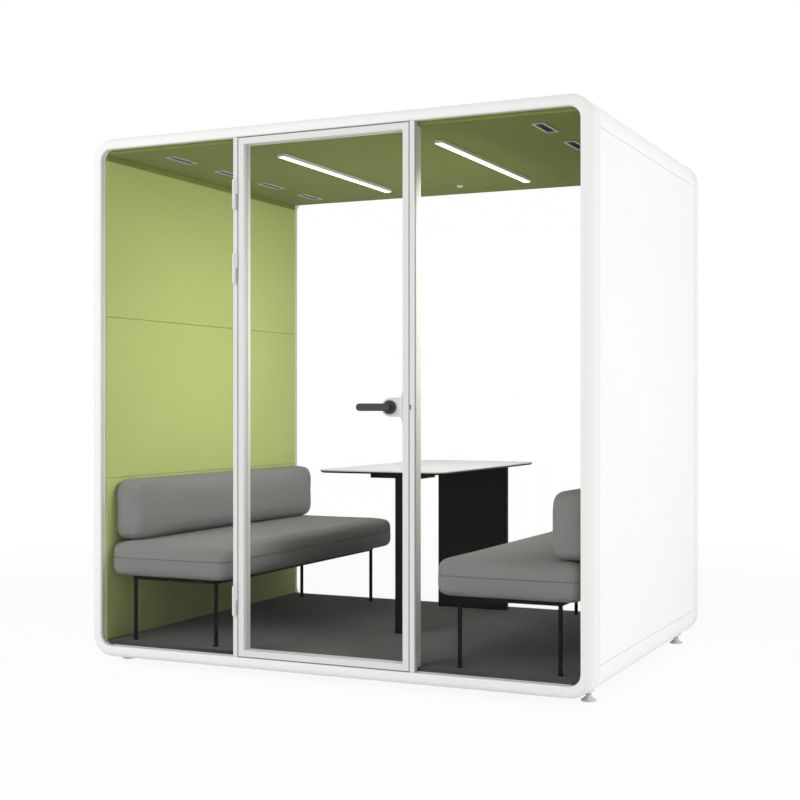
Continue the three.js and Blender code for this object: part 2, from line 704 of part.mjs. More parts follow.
/** Padded block on a flat base: sides drawn in between the corners, round edges, crowned top, sewn seam. */
function cushion({ across, along, thickness, crown, edge, round, seam }) {
  const least = across / 10;
  const shoulder = thickness - crown;
  const levels = [];
  for (let k = 0; k <= PAD_STEPS; k += 1) {
    const turn = k / PAD_STEPS * QUARTER;
    levels.push([edge * (1 - Math.sin(turn)), edge * (1 - Math.cos(turn))]);
  }
  if (seam) levels.push([0, seam - SEAM_HALF], [SEAM_DEPTH, seam], [0, seam + SEAM_HALF]);
  for (let k = 0; k <= PAD_STEPS; k += 1) {
    const turn = k / PAD_STEPS * QUARTER;
    levels.push([edge * (1 - Math.cos(turn)), shoulder - edge * (1 - Math.sin(turn))]);
  }
  for (let k = 1; k <= PAD_STEPS; k += 1) {
    const way = k / PAD_STEPS;
    levels.push([edge + way * (across / 2 - edge - least), shoulder + crown * Math.sin(way * QUARTER)]);
  }
  const outline = (inset) => {
    const radius = Math.max(round - inset, least / 2);
    const reachX = across / 2 - inset - radius;
    const reachY = along / 2 - inset - radius;
    const points = [];
    for (let quadrant = 0; quadrant < 4; quadrant += 1) {
      const middle = new THREE.Vector2(quadrant === 0 || quadrant === 3 ? reachX : -reachX,
        quadrant < 2 ? reachY : -reachY);
      for (let step = 0; step <= PAD_STEPS; step += 1) {
        const angle = (quadrant + step / PAD_STEPS) * QUARTER;
        points.push(new THREE.Vector2(Math.cos(angle), Math.sin(angle)).multiplyScalar(radius).add(middle));
      }
      const lengthwise = quadrant % 2 === 1;
      const inward = new THREE.Vector2(lengthwise ? 1 : 0, lengthwise ? 0 : -1);
      if (quadrant > 1) inward.negate();
      const start = points.at(-1).clone();
      const span = new THREE.Vector2(lengthwise ? 0 : -2 * reachX, lengthwise ? -2 * reachY : 0);
      if (quadrant > 1) span.negate();
      const sideSteps = lengthwise ? 2 * PAD_STEPS : PAD_STEPS;
      for (let step = 1; step < sideSteps; step += 1) {
        const way = step / sideSteps;
        points.push(start.clone().addScaledVector(span, way)
          .addScaledVector(inward, DRAW_IN * Math.sin(way * Math.PI)));
      }
    }
    return points;
  };
  const rows = levels.map(([inset, height]) => outline(inset).map(({ x, y }) => [x, y, height]));
  const count = rows[0].length;
  const positions = [...rows.flat(), [0, 0, 0], [0, 0, thickness]].flat();
  const base = rows.length * count;
  const indices = [];
  for (let i = 0; i < count; i += 1) {
    const next = (i + 1) % count;
    indices.push(base, next, i, base + 1, base - count + i, base - count + next);
    for (let row = 0; row < rows.length - 1; row += 1) {
      const low = row * count;
      const high = low + count;
      indices.push(low + i, low + next, high + next, low + i, high + next, high + i);
    }
  }
  const geometry = new THREE.BufferGeometry();
  geometry.setAttribute('position', new THREE.Float32BufferAttribute(positions, 3));
  geometry.setIndex(indices);
  return geometry;
}

/** Welded bench frame: four legs under a loop of rails, set towards the door. */
function benchFrame(side) {
  const x0 = seatFront + LEG_FRONT_INSET;
  const x1 = seatWall - LEG_WALL_INSET;
  const middle = side === 'right' ? -LEG_FORWARD : LEG_FORWARD;
  const y0 = middle - seatHalf + LEG_END_INSET;
  const y1 = middle + seatHalf - LEG_END_INSET;
  const railTop = seatBottom - FIT;
  const railUnder = railTop - RAIL;
  const loop = cut(
    box(x0 - LEG_RADIUS, x1 + LEG_RADIUS, y0 - LEG_RADIUS, y1 + LEG_RADIUS, railUnder, railTop),
    box(x0 + LEG_RADIUS, x1 - LEG_RADIUS, y0 + LEG_RADIUS, y1 - LEG_RADIUS, railUnder - FIT, railTop + FIT));
  const legs = [[x0, y0], [x0, y1], [x1, y0], [x1, y1]].map(([legX, legY]) =>
    rodZ(LEG_RADIUS - FIT, carpetTop + FIT, railTop - FIT, LEG_SIDES).translate(legX, legY, 0));
  return join(loop, ...legs);
}

function benches() {
  return sides((side) => {
    const seat = cushion({ across: seatWall - seatFront, along: 2 * seatHalf, thickness: SEAT_PAD,
      crown: SEAT_CROWN, edge: SEAT_EDGE, round: SEAT_CORNER, seam: SEAT_SEAM });
    const back = cushion({ across: BACK_HEIGHT, along: 2 * (midDepth - BACK_END_GAP), thickness: BACK_PAD,
      crown: BACK_CROWN, edge: BACK_EDGE, round: BACK_CORNER });
    back.rotateY(-QUARTER);
    return [
      part(`bench_frame_${side}`, benchFrame(side), FINISHES.blackSteel),
      placed(part(`seat_cushion_${side}`, seat, FINISHES.upholstery),
        (seatFront + seatWall) / 2, 0, seatBottom),
      placed(part(`back_cushion_${side}`, back, FINISHES.upholstery),
        wallInner - FIT, 0, backBottom + BACK_HEIGHT / 2),
    ];
  });
}

/** Table: bevelled top on a front post with its plate, and on a wide panel leg at the back. */
function table() {
  const group = new THREE.Group();
  const half = TABLE_WIDTH / 2;
  const slab = new THREE.ExtrudeGeometry(rectangle(-half, half, TABLE_FRONT, tableBack, TABLE_CORNER), {
    depth: TABLE_TOP,
    curveSegments: ARC_STEPS / 2,
    bevelThickness: TABLE_BEVEL,
    bevelSize: TABLE_BEVEL,
    bevelOffset: -TABLE_BEVEL,
    bevelSegments: 1,
  });
  slab.translate(0, 0, tableUnder + TABLE_BEVEL);
  const above = box(-WIDTH, WIDTH, -DEPTH, 2 * DEPTH, tableTop, tableTop + TABLE_TOP + TABLE_BEVEL);
  const standing = carpetTop + FIT;
  const under = tableUnder - FIT;
  const postFront = TABLE_FRONT + TABLE_POST_SETBACK;
  const postMid = postFront + TABLE_POST_LENGTH / 2;
  const post = box(-TABLE_POST_WIDTH / 2, TABLE_POST_WIDTH / 2, postFront, postFront + TABLE_POST_LENGTH,
    standing, under - FIT);
  const plate = box(-TABLE_PLATE_WIDTH / 2, TABLE_PLATE_WIDTH / 2, postMid - TABLE_PLATE_LENGTH / 2,
    postMid + TABLE_PLATE_LENGTH / 2, under - TABLE_PLATE, under);
  const panelBack = tableBack - TABLE_PANEL_SETBACK;
  const panel = box(-TABLE_PANEL_WIDTH / 2, TABLE_PANEL_WIDTH / 2, panelBack - TABLE_PANEL, panelBack,
    standing, under);
  group.add(
    placed(part('table_top', cut(slab, above), FINISHES.tableWhite), TABLE_MID, 0, 0),
    placed(part('table_post', join(post, plate), FINISHES.blackSteel), TABLE_MID, 0, 0),
    placed(part('table_panel_leg', panel, FINISHES.blackSteel), TABLE_MID, 0, 0));
  return group;
}

/** Linear light: channel under the ceiling with an opal strip in it. */
function light(side) {
  const top = ceilingUnder - FIT;
  const bottom = top - LIGHT_HEIGHT;
  const half = LIGHT_WIDTH / 2;
  const reach = LIGHT_LENGTH / 2;
  const middle = LIGHT_SPACING / 2;
  const strip = (inset, low, high) => box(middle - half + inset, middle + half - inset,
    inset - reach, reach - inset, low, high);
  return [
    part(`light_housing_${side}`,
      cut(strip(0, bottom, top), strip(LIGHT_WALL, bottom - FIT, top - LIGHT_WALL)), FINISHES.lightBody),
    part(`light_diffuser_${side}`,
      strip(LIGHT_WALL + FIT, bottom - DIFFUSER_PROUD, top - LIGHT_WALL - FIT), FINISHES.diffuser),
  ];
}

/** Vent: neck through the ceiling with a rim below and tilted slats inside. */
function vent() {
  const low = ceilingUnder - FIT - VENT_RIM_THICKNESS;
  const block = (halfX, halfY, z0, z1) => box(ductX - halfX, ductX + halfX, -halfY, halfY, z0, z1);
  const halfX = VENT_WIDTH / 2;
  const halfY = VENT_LENGTH / 2;
  const neck = join(block(halfX, halfY, low, ductBottom + DUCT_WALL),
    block(halfX + VENT_RIM, halfY + VENT_RIM, low, ceilingUnder - FIT));
  const way = block(halfX - DUCT_WALL, halfY - DUCT_WALL, low - FIT, ductBottom + DUCT_WALL + FIT);
  const pitch = (VENT_WIDTH - 2 * DUCT_WALL) / (VENT_SLATS + 1);
  const slats = Array.from({ length: VENT_SLATS }, (_, i) =>
    new THREE.BoxGeometry(VENT_SLAT_WIDTH, VENT_LENGTH - DUCT_WALL, VENT_SLAT_THICKNESS)
      .rotateY(VENT_SLAT_TILT * Math.PI / 180)
      .translate(ductX - halfX + DUCT_WALL + (i + 1) * pitch, 0, (ceilingUnder + ceilingTop) / 2));
  return { louvre: join(cut(neck, way), ...slats), way };
}

/** Air duct: open tray in the roof space that carries its vents and the fan's stub. */
function airDuct() {
  const reach = ventReach + VENT_LENGTH / 2 + DUCT_END;
  const half = DUCT_WIDTH / 2;
  const tray = cut(
    box(ductX - half, ductX + half, -reach, reach, ductBottom, ductTop),
    box(ductX - ductInner, ductX + ductInner, DUCT_WALL - reach, reach - DUCT_WALL,
      ductBottom + DUCT_WALL, ductTop + FIT));
  const vents = ventPlaces.map((y) => {
    const { louvre, way } = vent();
    return { louvre: louvre.translate(0, y, 0), way: way.translate(0, y, 0) };
  });
  const stub = rodZ(FAN_STUB_RADIUS, ductBottom + FIT, ductTop).translate(ductX, 0, 0);
  return join(cut(tray, ...vents.map(({ way }) => way)), stub, ...vents.map(({ louvre }) => louvre));
}

/** Fan rotor: bored hub with tilted blades. */
function fanRotor() {
  const low = ductBottom + DUCT_WALL + FAN_LIFT;
  const high = ductTop - FAN_LIFT;
  const tilt = FAN_BLADE_TILT * Math.PI / 180;
  const chord = (high - low - FAN_BLADE_THICKNESS * Math.cos(tilt)) / Math.sin(tilt);
  const span = fanRadius - FAN_HUB_RADIUS + DUCT_WALL;
  const blades = Array.from({ length: FAN_BLADES }, (_, i) =>
    new THREE.BoxGeometry(span, chord, FAN_BLADE_THICKNESS)
      .rotateX(tilt)
      .translate(fanRadius - span / 2, 0, (low + high) / 2)
      .rotateZ(i / FAN_BLADES * 2 * Math.PI));
  const bore = rodZ(FAN_STUB_RADIUS + FIT, low - FIT, high + FIT);
  return cut(join(rodZ(FAN_HUB_RADIUS, low, high), ...blades), bore);
}

/** Power unit on the ceiling panel, with an inlet that opens in the roof. */
function powerUnit() {
  const block = (halfX, halfY, z0, z1) => box(-halfX, halfX, midDepth - halfY, midDepth + halfY, z0, z1);
  const inletTop = ringTop - INLET_RECESS;
  const inletX = INLET_WIDTH / 2;
  const inletY = INLET_LENGTH / 2;
  const unit = block(POWER_WIDTH / 2, POWER_LENGTH / 2, ductBottom, ductTop);
  return cut(
    join(unit, block(inletX, inletY, ductTop - FIT, inletTop)),
    block(inletX - INLET_WALL, inletY - INLET_WALL, inletTop - INLET_DEPTH, inletTop + FIT));
}

function sensor() {
  const rim = SENSOR_DROP / 3;
  const points = [];
  for (let step = 0; step <= EDGE_STEPS; step += 1) {
    const angle = step / EDGE_STEPS * QUARTER;
    points.push([SENSOR_RADIUS * Math.sin(angle), -rim - (SENSOR_DROP - rim) * Math.cos(angle)]);
  }
  points.push([SENSOR_RADIUS, -FIT], [SENSOR_STEM, -FIT], [SENSOR_STEM, CEILING], [0, CEILING]);
  return turned(points);
}

function services() {
  const group = new THREE.Group();
  group.add(...sides((side) => [
    ...light(side),
    part(`air_duct_${side}`, airDuct(), FINISHES.duct),
    placed(part(`fan_rotor_${side}`, fanRotor(), FINISHES.fan), ductX, 0, 0),
  ]));
  group.add(
    placed(part('ceiling_sensor', sensor(), FINISHES.whitePanel),
      0, DEPTH - SENSOR_FROM_BACK, ceilingUnder),
    part('power_unit', powerUnit(), FINISHES.duct));
  return group;
}

// The origin is on the floor, in the middle of the pod measured with its handle.
const pod = placed(new THREE.Group(), 0, (leverProud - DEPTH) / 2, 0);
pod.add(shell(), lining(), door(), ...benches(), table(), services());

export default pod;
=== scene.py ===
"""Acoustic office pod: finishes, soft goods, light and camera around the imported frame."""

import logging
import math
import random
from dataclasses import dataclass
from enum import Enum
from typing import Any, Callable, Iterable, Sequence

import bmesh
import bpy
from mathutils import Matrix, Vector


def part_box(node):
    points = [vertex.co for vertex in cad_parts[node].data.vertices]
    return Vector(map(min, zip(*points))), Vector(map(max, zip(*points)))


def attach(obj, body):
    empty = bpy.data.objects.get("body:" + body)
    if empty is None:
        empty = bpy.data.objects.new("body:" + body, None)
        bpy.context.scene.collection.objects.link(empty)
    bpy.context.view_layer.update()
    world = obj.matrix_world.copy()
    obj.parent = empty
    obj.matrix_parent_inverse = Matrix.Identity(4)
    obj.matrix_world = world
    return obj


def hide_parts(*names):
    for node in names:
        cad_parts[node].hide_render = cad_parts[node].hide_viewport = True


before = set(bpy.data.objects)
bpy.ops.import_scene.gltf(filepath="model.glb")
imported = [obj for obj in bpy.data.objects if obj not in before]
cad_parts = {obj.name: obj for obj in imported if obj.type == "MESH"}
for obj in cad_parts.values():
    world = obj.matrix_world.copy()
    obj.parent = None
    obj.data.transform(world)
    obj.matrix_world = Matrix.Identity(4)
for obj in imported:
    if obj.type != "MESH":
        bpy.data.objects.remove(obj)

LOG = logging.getLogger("pod")
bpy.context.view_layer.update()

Colour = tuple[float, float, float]
Point = Sequence[float]


class Side(Enum):
    """The two sides of the pod, seen by someone who faces the door."""

    RIGHT = "right"
    LEFT = "left"


class Slot(Enum):
    """Material slots of the record."""

    FRAME = "white_lacquered_frame"
    PANEL = "white_lacquered_panel"
    COAT = "white_powder_coat"
    FELT = "green_felt"
    CARPET = "dark_carpet"
    GLASS = "clear_glass"
    RUBBER = "pale_gasket_rubber"
    BLACK = "black_powder_coat"
    HANDLE = "dark_handle"
    STEEL = "bright_steel"
    CLOTH = "grey_upholstery"
    TABLE = "white_table_board"
    CHANNEL = "light_channel"
    OPAL = "opal_diffuser"
    DUCT = "grey_duct_plastic"
    FAN = "dark_fan_plastic"
    SENSOR = "white_sensor_plastic"


class Wire:
    """A node's output that takes part in Python arithmetic."""

    def __init__(self, graph: "Graph", socket: bpy.types.NodeSocket) -> None:
        """Keep the socket and the graph it belongs to."""
        self.graph = graph
        self.socket = socket

    def _math(self, operation: str, first: Any, second: Any = 0.0) -> "Wire":
        """Add one Math node.

        Args:
            operation: The Math node's operation.
            first: First value or wire.
            second: Second value or wire.

        Returns:
            The wire of the result.
        """
        made = self.graph.node("ShaderNodeMath", {"operation": operation}, {0: first, 1: second})
        return Wire(self.graph, made.outputs[0])

    def __add__(self, other: Any) -> "Wire":
        """Sum."""
        return self._math("ADD", self, other)

    __radd__ = __add__

    def __sub__(self, other: Any) -> "Wire":
        """Difference."""
        return self._math("SUBTRACT", self, other)

    def __rsub__(self, other: Any) -> "Wire":
        """Reflected difference."""
        return self._math("SUBTRACT", other, self)

    def __mul__(self, other: Any) -> "Wire":
        """Product."""
        return self._math("MULTIPLY", self, other)

    __rmul__ = __mul__

    def __abs__(self) -> "Wire":
        """Magnitude."""
        return self._math("ABSOLUTE", self)

    def __lt__(self, other: Any) -> "Wire":
        """One where this is less than the other."""
        return self._math("LESS_THAN", self, other)

    def __gt__(self, other: Any) -> "Wire":
        """One where this is greater than the other."""
        return self._math("GREATER_THAN", self, other)

    def sine(self) -> "Wire":
        """Sine of the value."""
        return self._math("SINE", self)

    def most(self, other: Any) -> "Wire":
        """The greater of two values."""
        return self._math("MAXIMUM", self, other)

    def ease(self, low: float, high: float) -> "Wire":
        """Smooth step.

        Args:
            low: Value that gives 0.
            high: Value that gives 1.

        Returns:
            The wire of the step.
        """
        made = self.graph.node("ShaderNodeMapRange", {"interpolation_type": "SMOOTHSTEP"},
                               {"Value": self, "From Min": low, "From Max": high})
        return Wire(self.graph, made.outputs[0])


class Graph:
    """Node tree of one material, or of the world."""

    def __init__(self, name: str, world: bpy.types.World | None = None) -> None:
        """Start an empty tree.

        Args:
            name: Name of the material that is made, unless a world is given.
            world: World whose tree it is.
        """
        self.owner = world or bpy.data.materials.new(name)
        self.owner.use_nodes = True
        self.tree = self.owner.node_tree
        self.tree.nodes.clear()

    def node(self, kind: str, settings: dict[str, Any] | None = None,
             sockets: dict[Any, Any] | None = None) -> bpy.types.Node:
        """Add a node.

        Args:
            kind: Blender's node type.
            settings: Attributes of the node, set before its sockets.
            sockets: Values or wires of its inputs, by name or number.

        Returns:
            The new node.
        """
        made = self.tree.nodes.new(kind)
        for key, value in (settings or {}).items():
            setattr(made, key, value)
        for key, value in (sockets or {}).items():
            if isinstance(value, Wire):
                self.tree.links.new(value.socket, made.inputs[key])
            else:
                made.inputs[key].default_value = value
        return made

    def seen(self) -> Wire:
        """Tell which rays reach the eye.

        Returns:
            The wire of a number, 1 for rays that come straight, by a mirror or through glass.
        """
        path = self.node("ShaderNodeLightPath")
        camera, glossy, clear = [Wire(self, path.outputs[f"Is {ray} Ray"])
                                 for ray in ("Camera", "Glossy", "Transmission")]
        return camera.most(glossy).most(clear)

    def place(self) -> Wire:
        """Object coordinates."""
        return Wire(self, self.node("ShaderNodeTexCoord").outputs["Object"])

    def axes(self, place: Wire) -> tuple[Wire, Wire, Wire]:
        """The three numbers of a vector."""
        split = self.node("ShaderNodeSeparateXYZ", None, {0: place})
        return tuple(Wire(self, split.outputs[axis]) for axis in range(3))

    def stretched(self, place: Wire, scale: Point) -> Wire:
        """A vector scaled along each axis."""
        made = self.node("ShaderNodeMapping", None, {"Vector": place, "Scale": tuple(scale)})
        return Wire(self, made.outputs[0])

    def noise(self, place: Wire, scale: float, detail: float = 2.0) -> Wire:
        """Soft noise.

        Args:
            place: Where it is read.
            scale: Features per metre.
            detail: Octaves.

        Returns:
            The wire of a number about 0.5.
        """
        made = self.node("ShaderNodeTexNoise", None,
                         {"Vector": place, "Scale": scale, "Detail": detail})
        return Wire(self, made.outputs[0])

    def cells(self, place: Wire, scale: float) -> Wire:
        """Distance to the middle of the nearest cell."""
        made = self.node("ShaderNodeTexVoronoi", None, {"Vector": place, "Scale": scale})
        return Wire(self, made.outputs["Distance"])

    def blend(self, share: Any, first: Any, second: Any) -> Wire:
        """Mix two colours.

        Args:
            share: How much of the second.
            first: Colour or wire.
            second: Colour or wire.

        Returns:
            The wire of the mixed colour.
        """
        colours = [c if isinstance(c, Wire) else (*c, 1.0) for c in (first, second)]
        made = self.node("ShaderNodeMix", {"data_type": "RGBA"},
                         {0: share, 6: colours[0], 7: colours[1]})
        return Wire(self, made.outputs[2])

    def shades(self, share: Any, colour: Colour, dark: float, light: float) -> Wire:
        """A colour that wanders between two shades of itself."""
        return self.blend(share, shade(colour, dark), shade(colour, light))

    def about(self, noise: Wire, middle: float, spread: float) -> Wire:
        """A number that wanders about its middle with a noise."""
        return noise * spread + (middle - spread / 2)

    def bump(self, height: Wire, strength: float, depth: float) -> Wire:
        """Normal from a height.

        Args:
            height: Height as a share of the depth.
            strength: Strength of the bump.
            depth: Depth in metres.

        Returns:
            The wire of the normal.
        """
        made = self.node("ShaderNodeBump", None,
                         {"Strength": strength, "Distance": depth, "Height": height})
        return Wire(self, made.outputs[0])

    def principled(self, sockets: dict[str, Any]) -> bpy.types.Node:
        """The all-round shader with these sockets."""
        return self.node("ShaderNodeBsdfPrincipled", None, sockets)

    def surface(self, shader: bpy.types.Node) -> bpy.types.Material:
        """Give the material its shader."""
        self.node("ShaderNodeOutputMaterial", None, {"Surface": Wire(self, shader.outputs[0])})
        return self.owner


def shade(colour: Colour, factor: float) -> Colour:
    """A colour made lighter or darker, within 1."""
    return tuple(min(1.0, part * factor) for part in colour)


class Finish:
    """A surface finish that becomes a material."""

    def shader(self, graph: Graph) -> bpy.types.Node:
        """The finish's shader, drawn in a graph."""
        raise NotImplementedError

    def make(self, name: str) -> bpy.types.Material:
        """The finish's material under that name."""
        graph = Graph(name)
        return graph.surface(self.shader(graph))


@dataclass(frozen=True)
class Lacquer(Finish):
    """Smooth coat on board or metal, with a faint spray texture and fine joint lines."""

    colour: Colour
    roughness: float = 0.34
    grain: float = 900.0
    depth: float = 0.00006
    coat: float = 0.15
    joints_x: tuple[float, ...] = ()
    joints_z: tuple[float, ...] = ()
    joint_half: float = 0.0006
    joint_shade: float = 0.55
    joint_share: float = 0.35
    joint_depth: float = 4.0
    clouds: float = 2.5
    tones: tuple[float, float] = (0.975, 1.02)
    gloss_spread: float = 0.12

    def shader(self, graph: Graph) -> bpy.types.Node:
        """Draw the finish.

        Args:
            graph: Graph that takes its nodes.

        Returns:
            The shader.
        """
        place = graph.place()
        cloud = graph.noise(place, self.clouds, 3.0)
        spray = graph.noise(place, self.grain, 2.0)
        tone = graph.shades(cloud, self.colour, *self.tones)
        height = spray
        if self.joints_x or self.joints_z:
            across, _, up = graph.axes(place)
            lines = None
            for axis, places in ((abs(across), self.joints_x), (up, self.joints_z)):
                for joint in places:
                    line = abs(axis - joint) < self.joint_half
                    lines = line if lines is None else lines.most(line)
            tone = graph.blend(lines * self.joint_share, tone, shade(self.colour, self.joint_shade))
            height = spray - lines * self.joint_depth
        return graph.principled({
            "Base Color": tone,
            "Roughness": graph.about(cloud, self.roughness, self.gloss_spread),
            "Coat Weight": self.coat,
            "Coat Roughness": 0.25,
            "Normal": graph.bump(height, 0.25, self.depth),
        })


@dataclass(frozen=True)
class Felt(Finish):
    """Pressed wool felt: fine mixed fibres, slightly uneven dye, a nap, and painted shade that turns the felt
    darker at the ceiling.
    """

    colour: Colour
    # The darker colour of the painted shade on the ceiling, and the heights over which that painted shade
    # comes in.
    deep: Colour
    painted_shade_heights: tuple[float, float]
    fibre: float = 700.0
    depth: float = 0.0006
    flecks: tuple[float, float] = (0.36, 0.64)
    tones: tuple[float, float] = (0.88, 1.1)
    dye_clouds: float = 3.0
    dye_share: float = 0.35
    dye_shade: float = 0.94

    def shader(self, graph: Graph) -> bpy.types.Node:
        """Draw the finish.

        Args:
            graph: Graph that takes its nodes.

        Returns:
            The shader.
        """
        place = graph.place()
        strands = graph.noise(graph.stretched(place, (1.0, 0.35, 1.6)), self.fibre, 3.0)
        crossed = graph.noise(graph.stretched(place, (1.0, 1.6, 0.35)), self.fibre, 3.0)
        dye = graph.noise(place, self.dye_clouds, 3.0)
        fibres = strands * 0.5 + crossed * 0.5
        fleck = fibres.ease(*self.flecks)
        tone = graph.shades(fleck, self.colour, *self.tones)
        tone = graph.blend(dye.ease(0.3, 0.7) * self.dye_share, tone, shade(self.colour, self.dye_shade))
        # Painted shade: from the given heights up the felt turns to a darker copy of itself, so the ceiling
        # looks shaded.
        deep = graph.shades(fleck, self.deep, *self.tones)
        tone = graph.blend(graph.axes(place)[2].ease(*self.painted_shade_heights), tone, deep)
        return graph.principled({
            "Base Color": tone,
            "Roughness": 0.95,
            "Specular IOR Level": 0.2,
            "Sheen Weight": 0.08,
            "Normal": graph.bump(fibres, 0.5, self.depth),
        })


@dataclass(frozen=True)
class Pile(Finish):
    """Low cut carpet pile of mixed yarns, with painted light that falls across it in soft diagonal stripes.
    """

    dark: Colour
    light: Colour
    tuft: float = 260.0
    depth: float = 0.003
    # Painted light: count, wobble and strength of the lighter diagonal stripes.
    painted_light_turns: float = 9.0
    painted_light_clouds: float = 1.6
    painted_light_share: float = 0.3

    def shader(self, graph: Graph) -> bpy.types.Node:
        """Draw the finish.

        Args:
            graph: Graph that takes its nodes.

        Returns:
            The shader.
        """
        place = graph.place()
        across, along, _ = graph.axes(place)
        yarn = graph.noise(place, self.tuft, 3.0)
        tufts = graph.cells(place, self.tuft)
        wave = graph.noise(place, self.painted_light_clouds, 2.0)
        # Painted light: soft diagonal stripes where the pile is made lighter, standing in for light that
        # falls across the carpet.
        painted_light_bands = ((across * 0.8 + along + wave * 0.5) * self.painted_light_turns).sine().ease(-0.8, 1.0)
        tone = graph.blend(yarn.ease(0.4, 0.72), self.dark, self.light)
        tone = graph.blend(painted_light_bands * self.painted_light_share, tone, self.light)
        return graph.principled({
            "Base Color": tone,
            "Roughness": 1.0,
            "Specular IOR Level": 0.1,
            "Sheen Weight": 0.15,
            "Normal": graph.bump(yarn - tufts * 0.6, 0.9, self.depth),
        })


@dataclass(frozen=True)
class Weave(Finish):
    """Wool upholstery: plain weave of two yarns with a little slub."""

    colour: Colour
    pitch: float = 0.0026
    depth: float = 0.0008
    slubs: float = 90.0
    mottles: float = 420.0
    wear_clouds: float = 4.0
    yarns: tuple[float, float] = (0.82, 1.14)

    def shader(self, graph: Graph) -> bpy.types.Node:
        """Draw the finish.

        Args:
            graph: Graph that takes its nodes.

        Returns:
            The shader.
        """
        place = graph.place()
        turn = 2.0 * math.pi / self.pitch
        slub = graph.noise(place, self.slubs, 3.0)
        waves = [(axis * turn + slub * 2.5).sine() for axis in graph.axes(place)]
        cloth = waves[0] * waves[1] + waves[1] * waves[2] + waves[2] * waves[0]
        mottle = graph.noise(place, self.mottles, 3.0)
        wear = graph.noise(place, self.wear_clouds, 2.0)
        tone = graph.shades(cloth.ease(-1.0, 1.0), self.colour, *self.yarns)
        tone = graph.blend(mottle.ease(0.42, 0.7) * 0.4, tone, shade(self.colour, 1.25))
        tone = graph.blend(wear.ease(0.35, 0.7) * 0.25, tone, shade(self.colour, 0.9))
        return graph.principled({
            "Base Color": tone,
            "Roughness": 0.92,
            "Specular IOR Level": 0.2,
            "Sheen Weight": 0.1,
            "Normal": graph.bump(cloth * 0.35 + mottle, 0.5, self.depth),
        })


@dataclass(frozen=True)
class Moulded(Finish):
    """Fine-textured plastic, rubber or powder coat."""

    colour: Colour
    roughness: float = 0.5
    metallic: float = 0.0
    grain: float = 1400.0
    depth: float = 0.00012
    spread: float = 0.12
    specular: float = 0.5
    clouds: float = 7.0
    gloss_spread: float = 0.14

    def shader(self, graph: Graph) -> bpy.types.Node:
        """Draw the finish.

        Args:
            graph: Graph that takes its nodes.

        Returns:
            The shader.
        """
        place = graph.place()
        grit = graph.noise(place, self.grain, 2.0)
        cloud = graph.noise(place, self.clouds, 3.0)
        tone = graph.shades(cloud, self.colour, 1.0 - self.spread, 1.0 + self.spread)
        return graph.principled({
            "Base Color": tone,
            "Metallic": self.metallic,
            "Specular IOR Level": self.specular,
            "Roughness": graph.about(cloud, self.roughness, self.gloss_spread),
            "Normal": graph.bump(grit, 0.4, self.depth),
        })


@dataclass(frozen=True)
class Brushed(Finish):
    """Metal brushed along Y."""

    colour: Colour
    roughness: float = 0.34
    gloss_spread: float = 0.16
    hairs: float = 1500.0
    depth: float = 0.00008

    def shader(self, graph: Graph) -> bpy.types.Node:
        """Draw the finish.

        Args:
            graph: Graph that takes its nodes.

        Returns:
            The shader.
        """
        hair = graph.noise(graph.stretched(graph.place(), (1.0, 0.02, 1.0)), self.hairs, 2.0)
        return graph.principled({
            "Base Color": graph.shades(hair, self.colour, 0.9, 1.08),
            "Metallic": 1.0,
            "Roughness": graph.about(hair, self.roughness, self.gloss_spread),
            "Normal": graph.bump(hair, 0.2, self.depth),
        })


@dataclass(frozen=True)
class Louvre(Finish):
    """Vent plastic: pale rim under the ceiling, darker slats above it."""

    rim: Colour
    slats: Colour
    level: float
    dust: Colour = (0.02, 0.02, 0.02)
    dust_share: float = 0.12
    roughness: float = 0.47
    gloss_spread: float = 0.1
    grain: float = 1200.0
    depth: float = 0.0001

    def shader(self, graph: Graph) -> bpy.types.Node:
        """Draw the finish.

        Args:
            graph: Graph that takes its nodes.

        Returns:
            The shader.
        """
        place = graph.place()
        _, _, up = graph.axes(place)
        grit = graph.noise(place, self.grain, 2.0)
        base = graph.blend(up > self.level, self.rim, self.slats)
        return graph.principled({
            "Base Color": graph.blend(grit * self.dust_share, base, self.dust),
            "Roughness": graph.about(grit, self.roughness, self.gloss_spread),
            "Normal": graph.bump(grit, 0.3, self.depth),
        })


@dataclass(frozen=True)
class ClearGlass(Finish):
    """Flat clear glass that lets light and shadow through and mirrors at a grazing look."""

    tint: Colour = (0.998, 1.0, 0.999)
    mirror: float = 0.9
    grazing: float = 0.12
    polish: float = 0.02

    def shader(self, graph: Graph) -> bpy.types.Node:
        """Draw the finish.

        Args:
            graph: Graph that takes its nodes.

        Returns:
            The shader.
        """
        edge = graph.node("ShaderNodeLayerWeight", None, {"Blend": self.grazing})
        clear = graph.node("ShaderNodeBsdfTransparent", None, {"Color": (*self.tint, 1.0)})
        gloss = graph.principled({
            "Base Color": (1.0, 1.0, 1.0, 1.0), "Metallic": 1.0, "Roughness": self.polish})
        share = Wire(graph, edge.outputs["Fresnel"]) * self.mirror
        return graph.node("ShaderNodeMixShader", None, {
            0: share, 1: Wire(graph, clear.outputs[0]), 2: Wire(graph, gloss.outputs[0])})


@dataclass(frozen=True)
class Opal(Finish):
    """Lit opal strip."""

    colour: Colour
    strength: float
    grain: float = 600.0

    def shader(self, graph: Graph) -> bpy.types.Node:
        """Draw the finish.

        Args:
            graph: Graph that takes its nodes.

        Returns:
            The shader.
        """
        grit = graph.noise(graph.place(), self.grain, 2.0)
        return graph.principled({
            "Base Color": graph.blend(grit, shade(self.colour, 0.97), self.colour),
            "Roughness": 0.5,
            "Emission Color": graph.blend(grit, shade(self.colour, 0.98), self.colour),
            "Emission Strength": self.strength,
        })


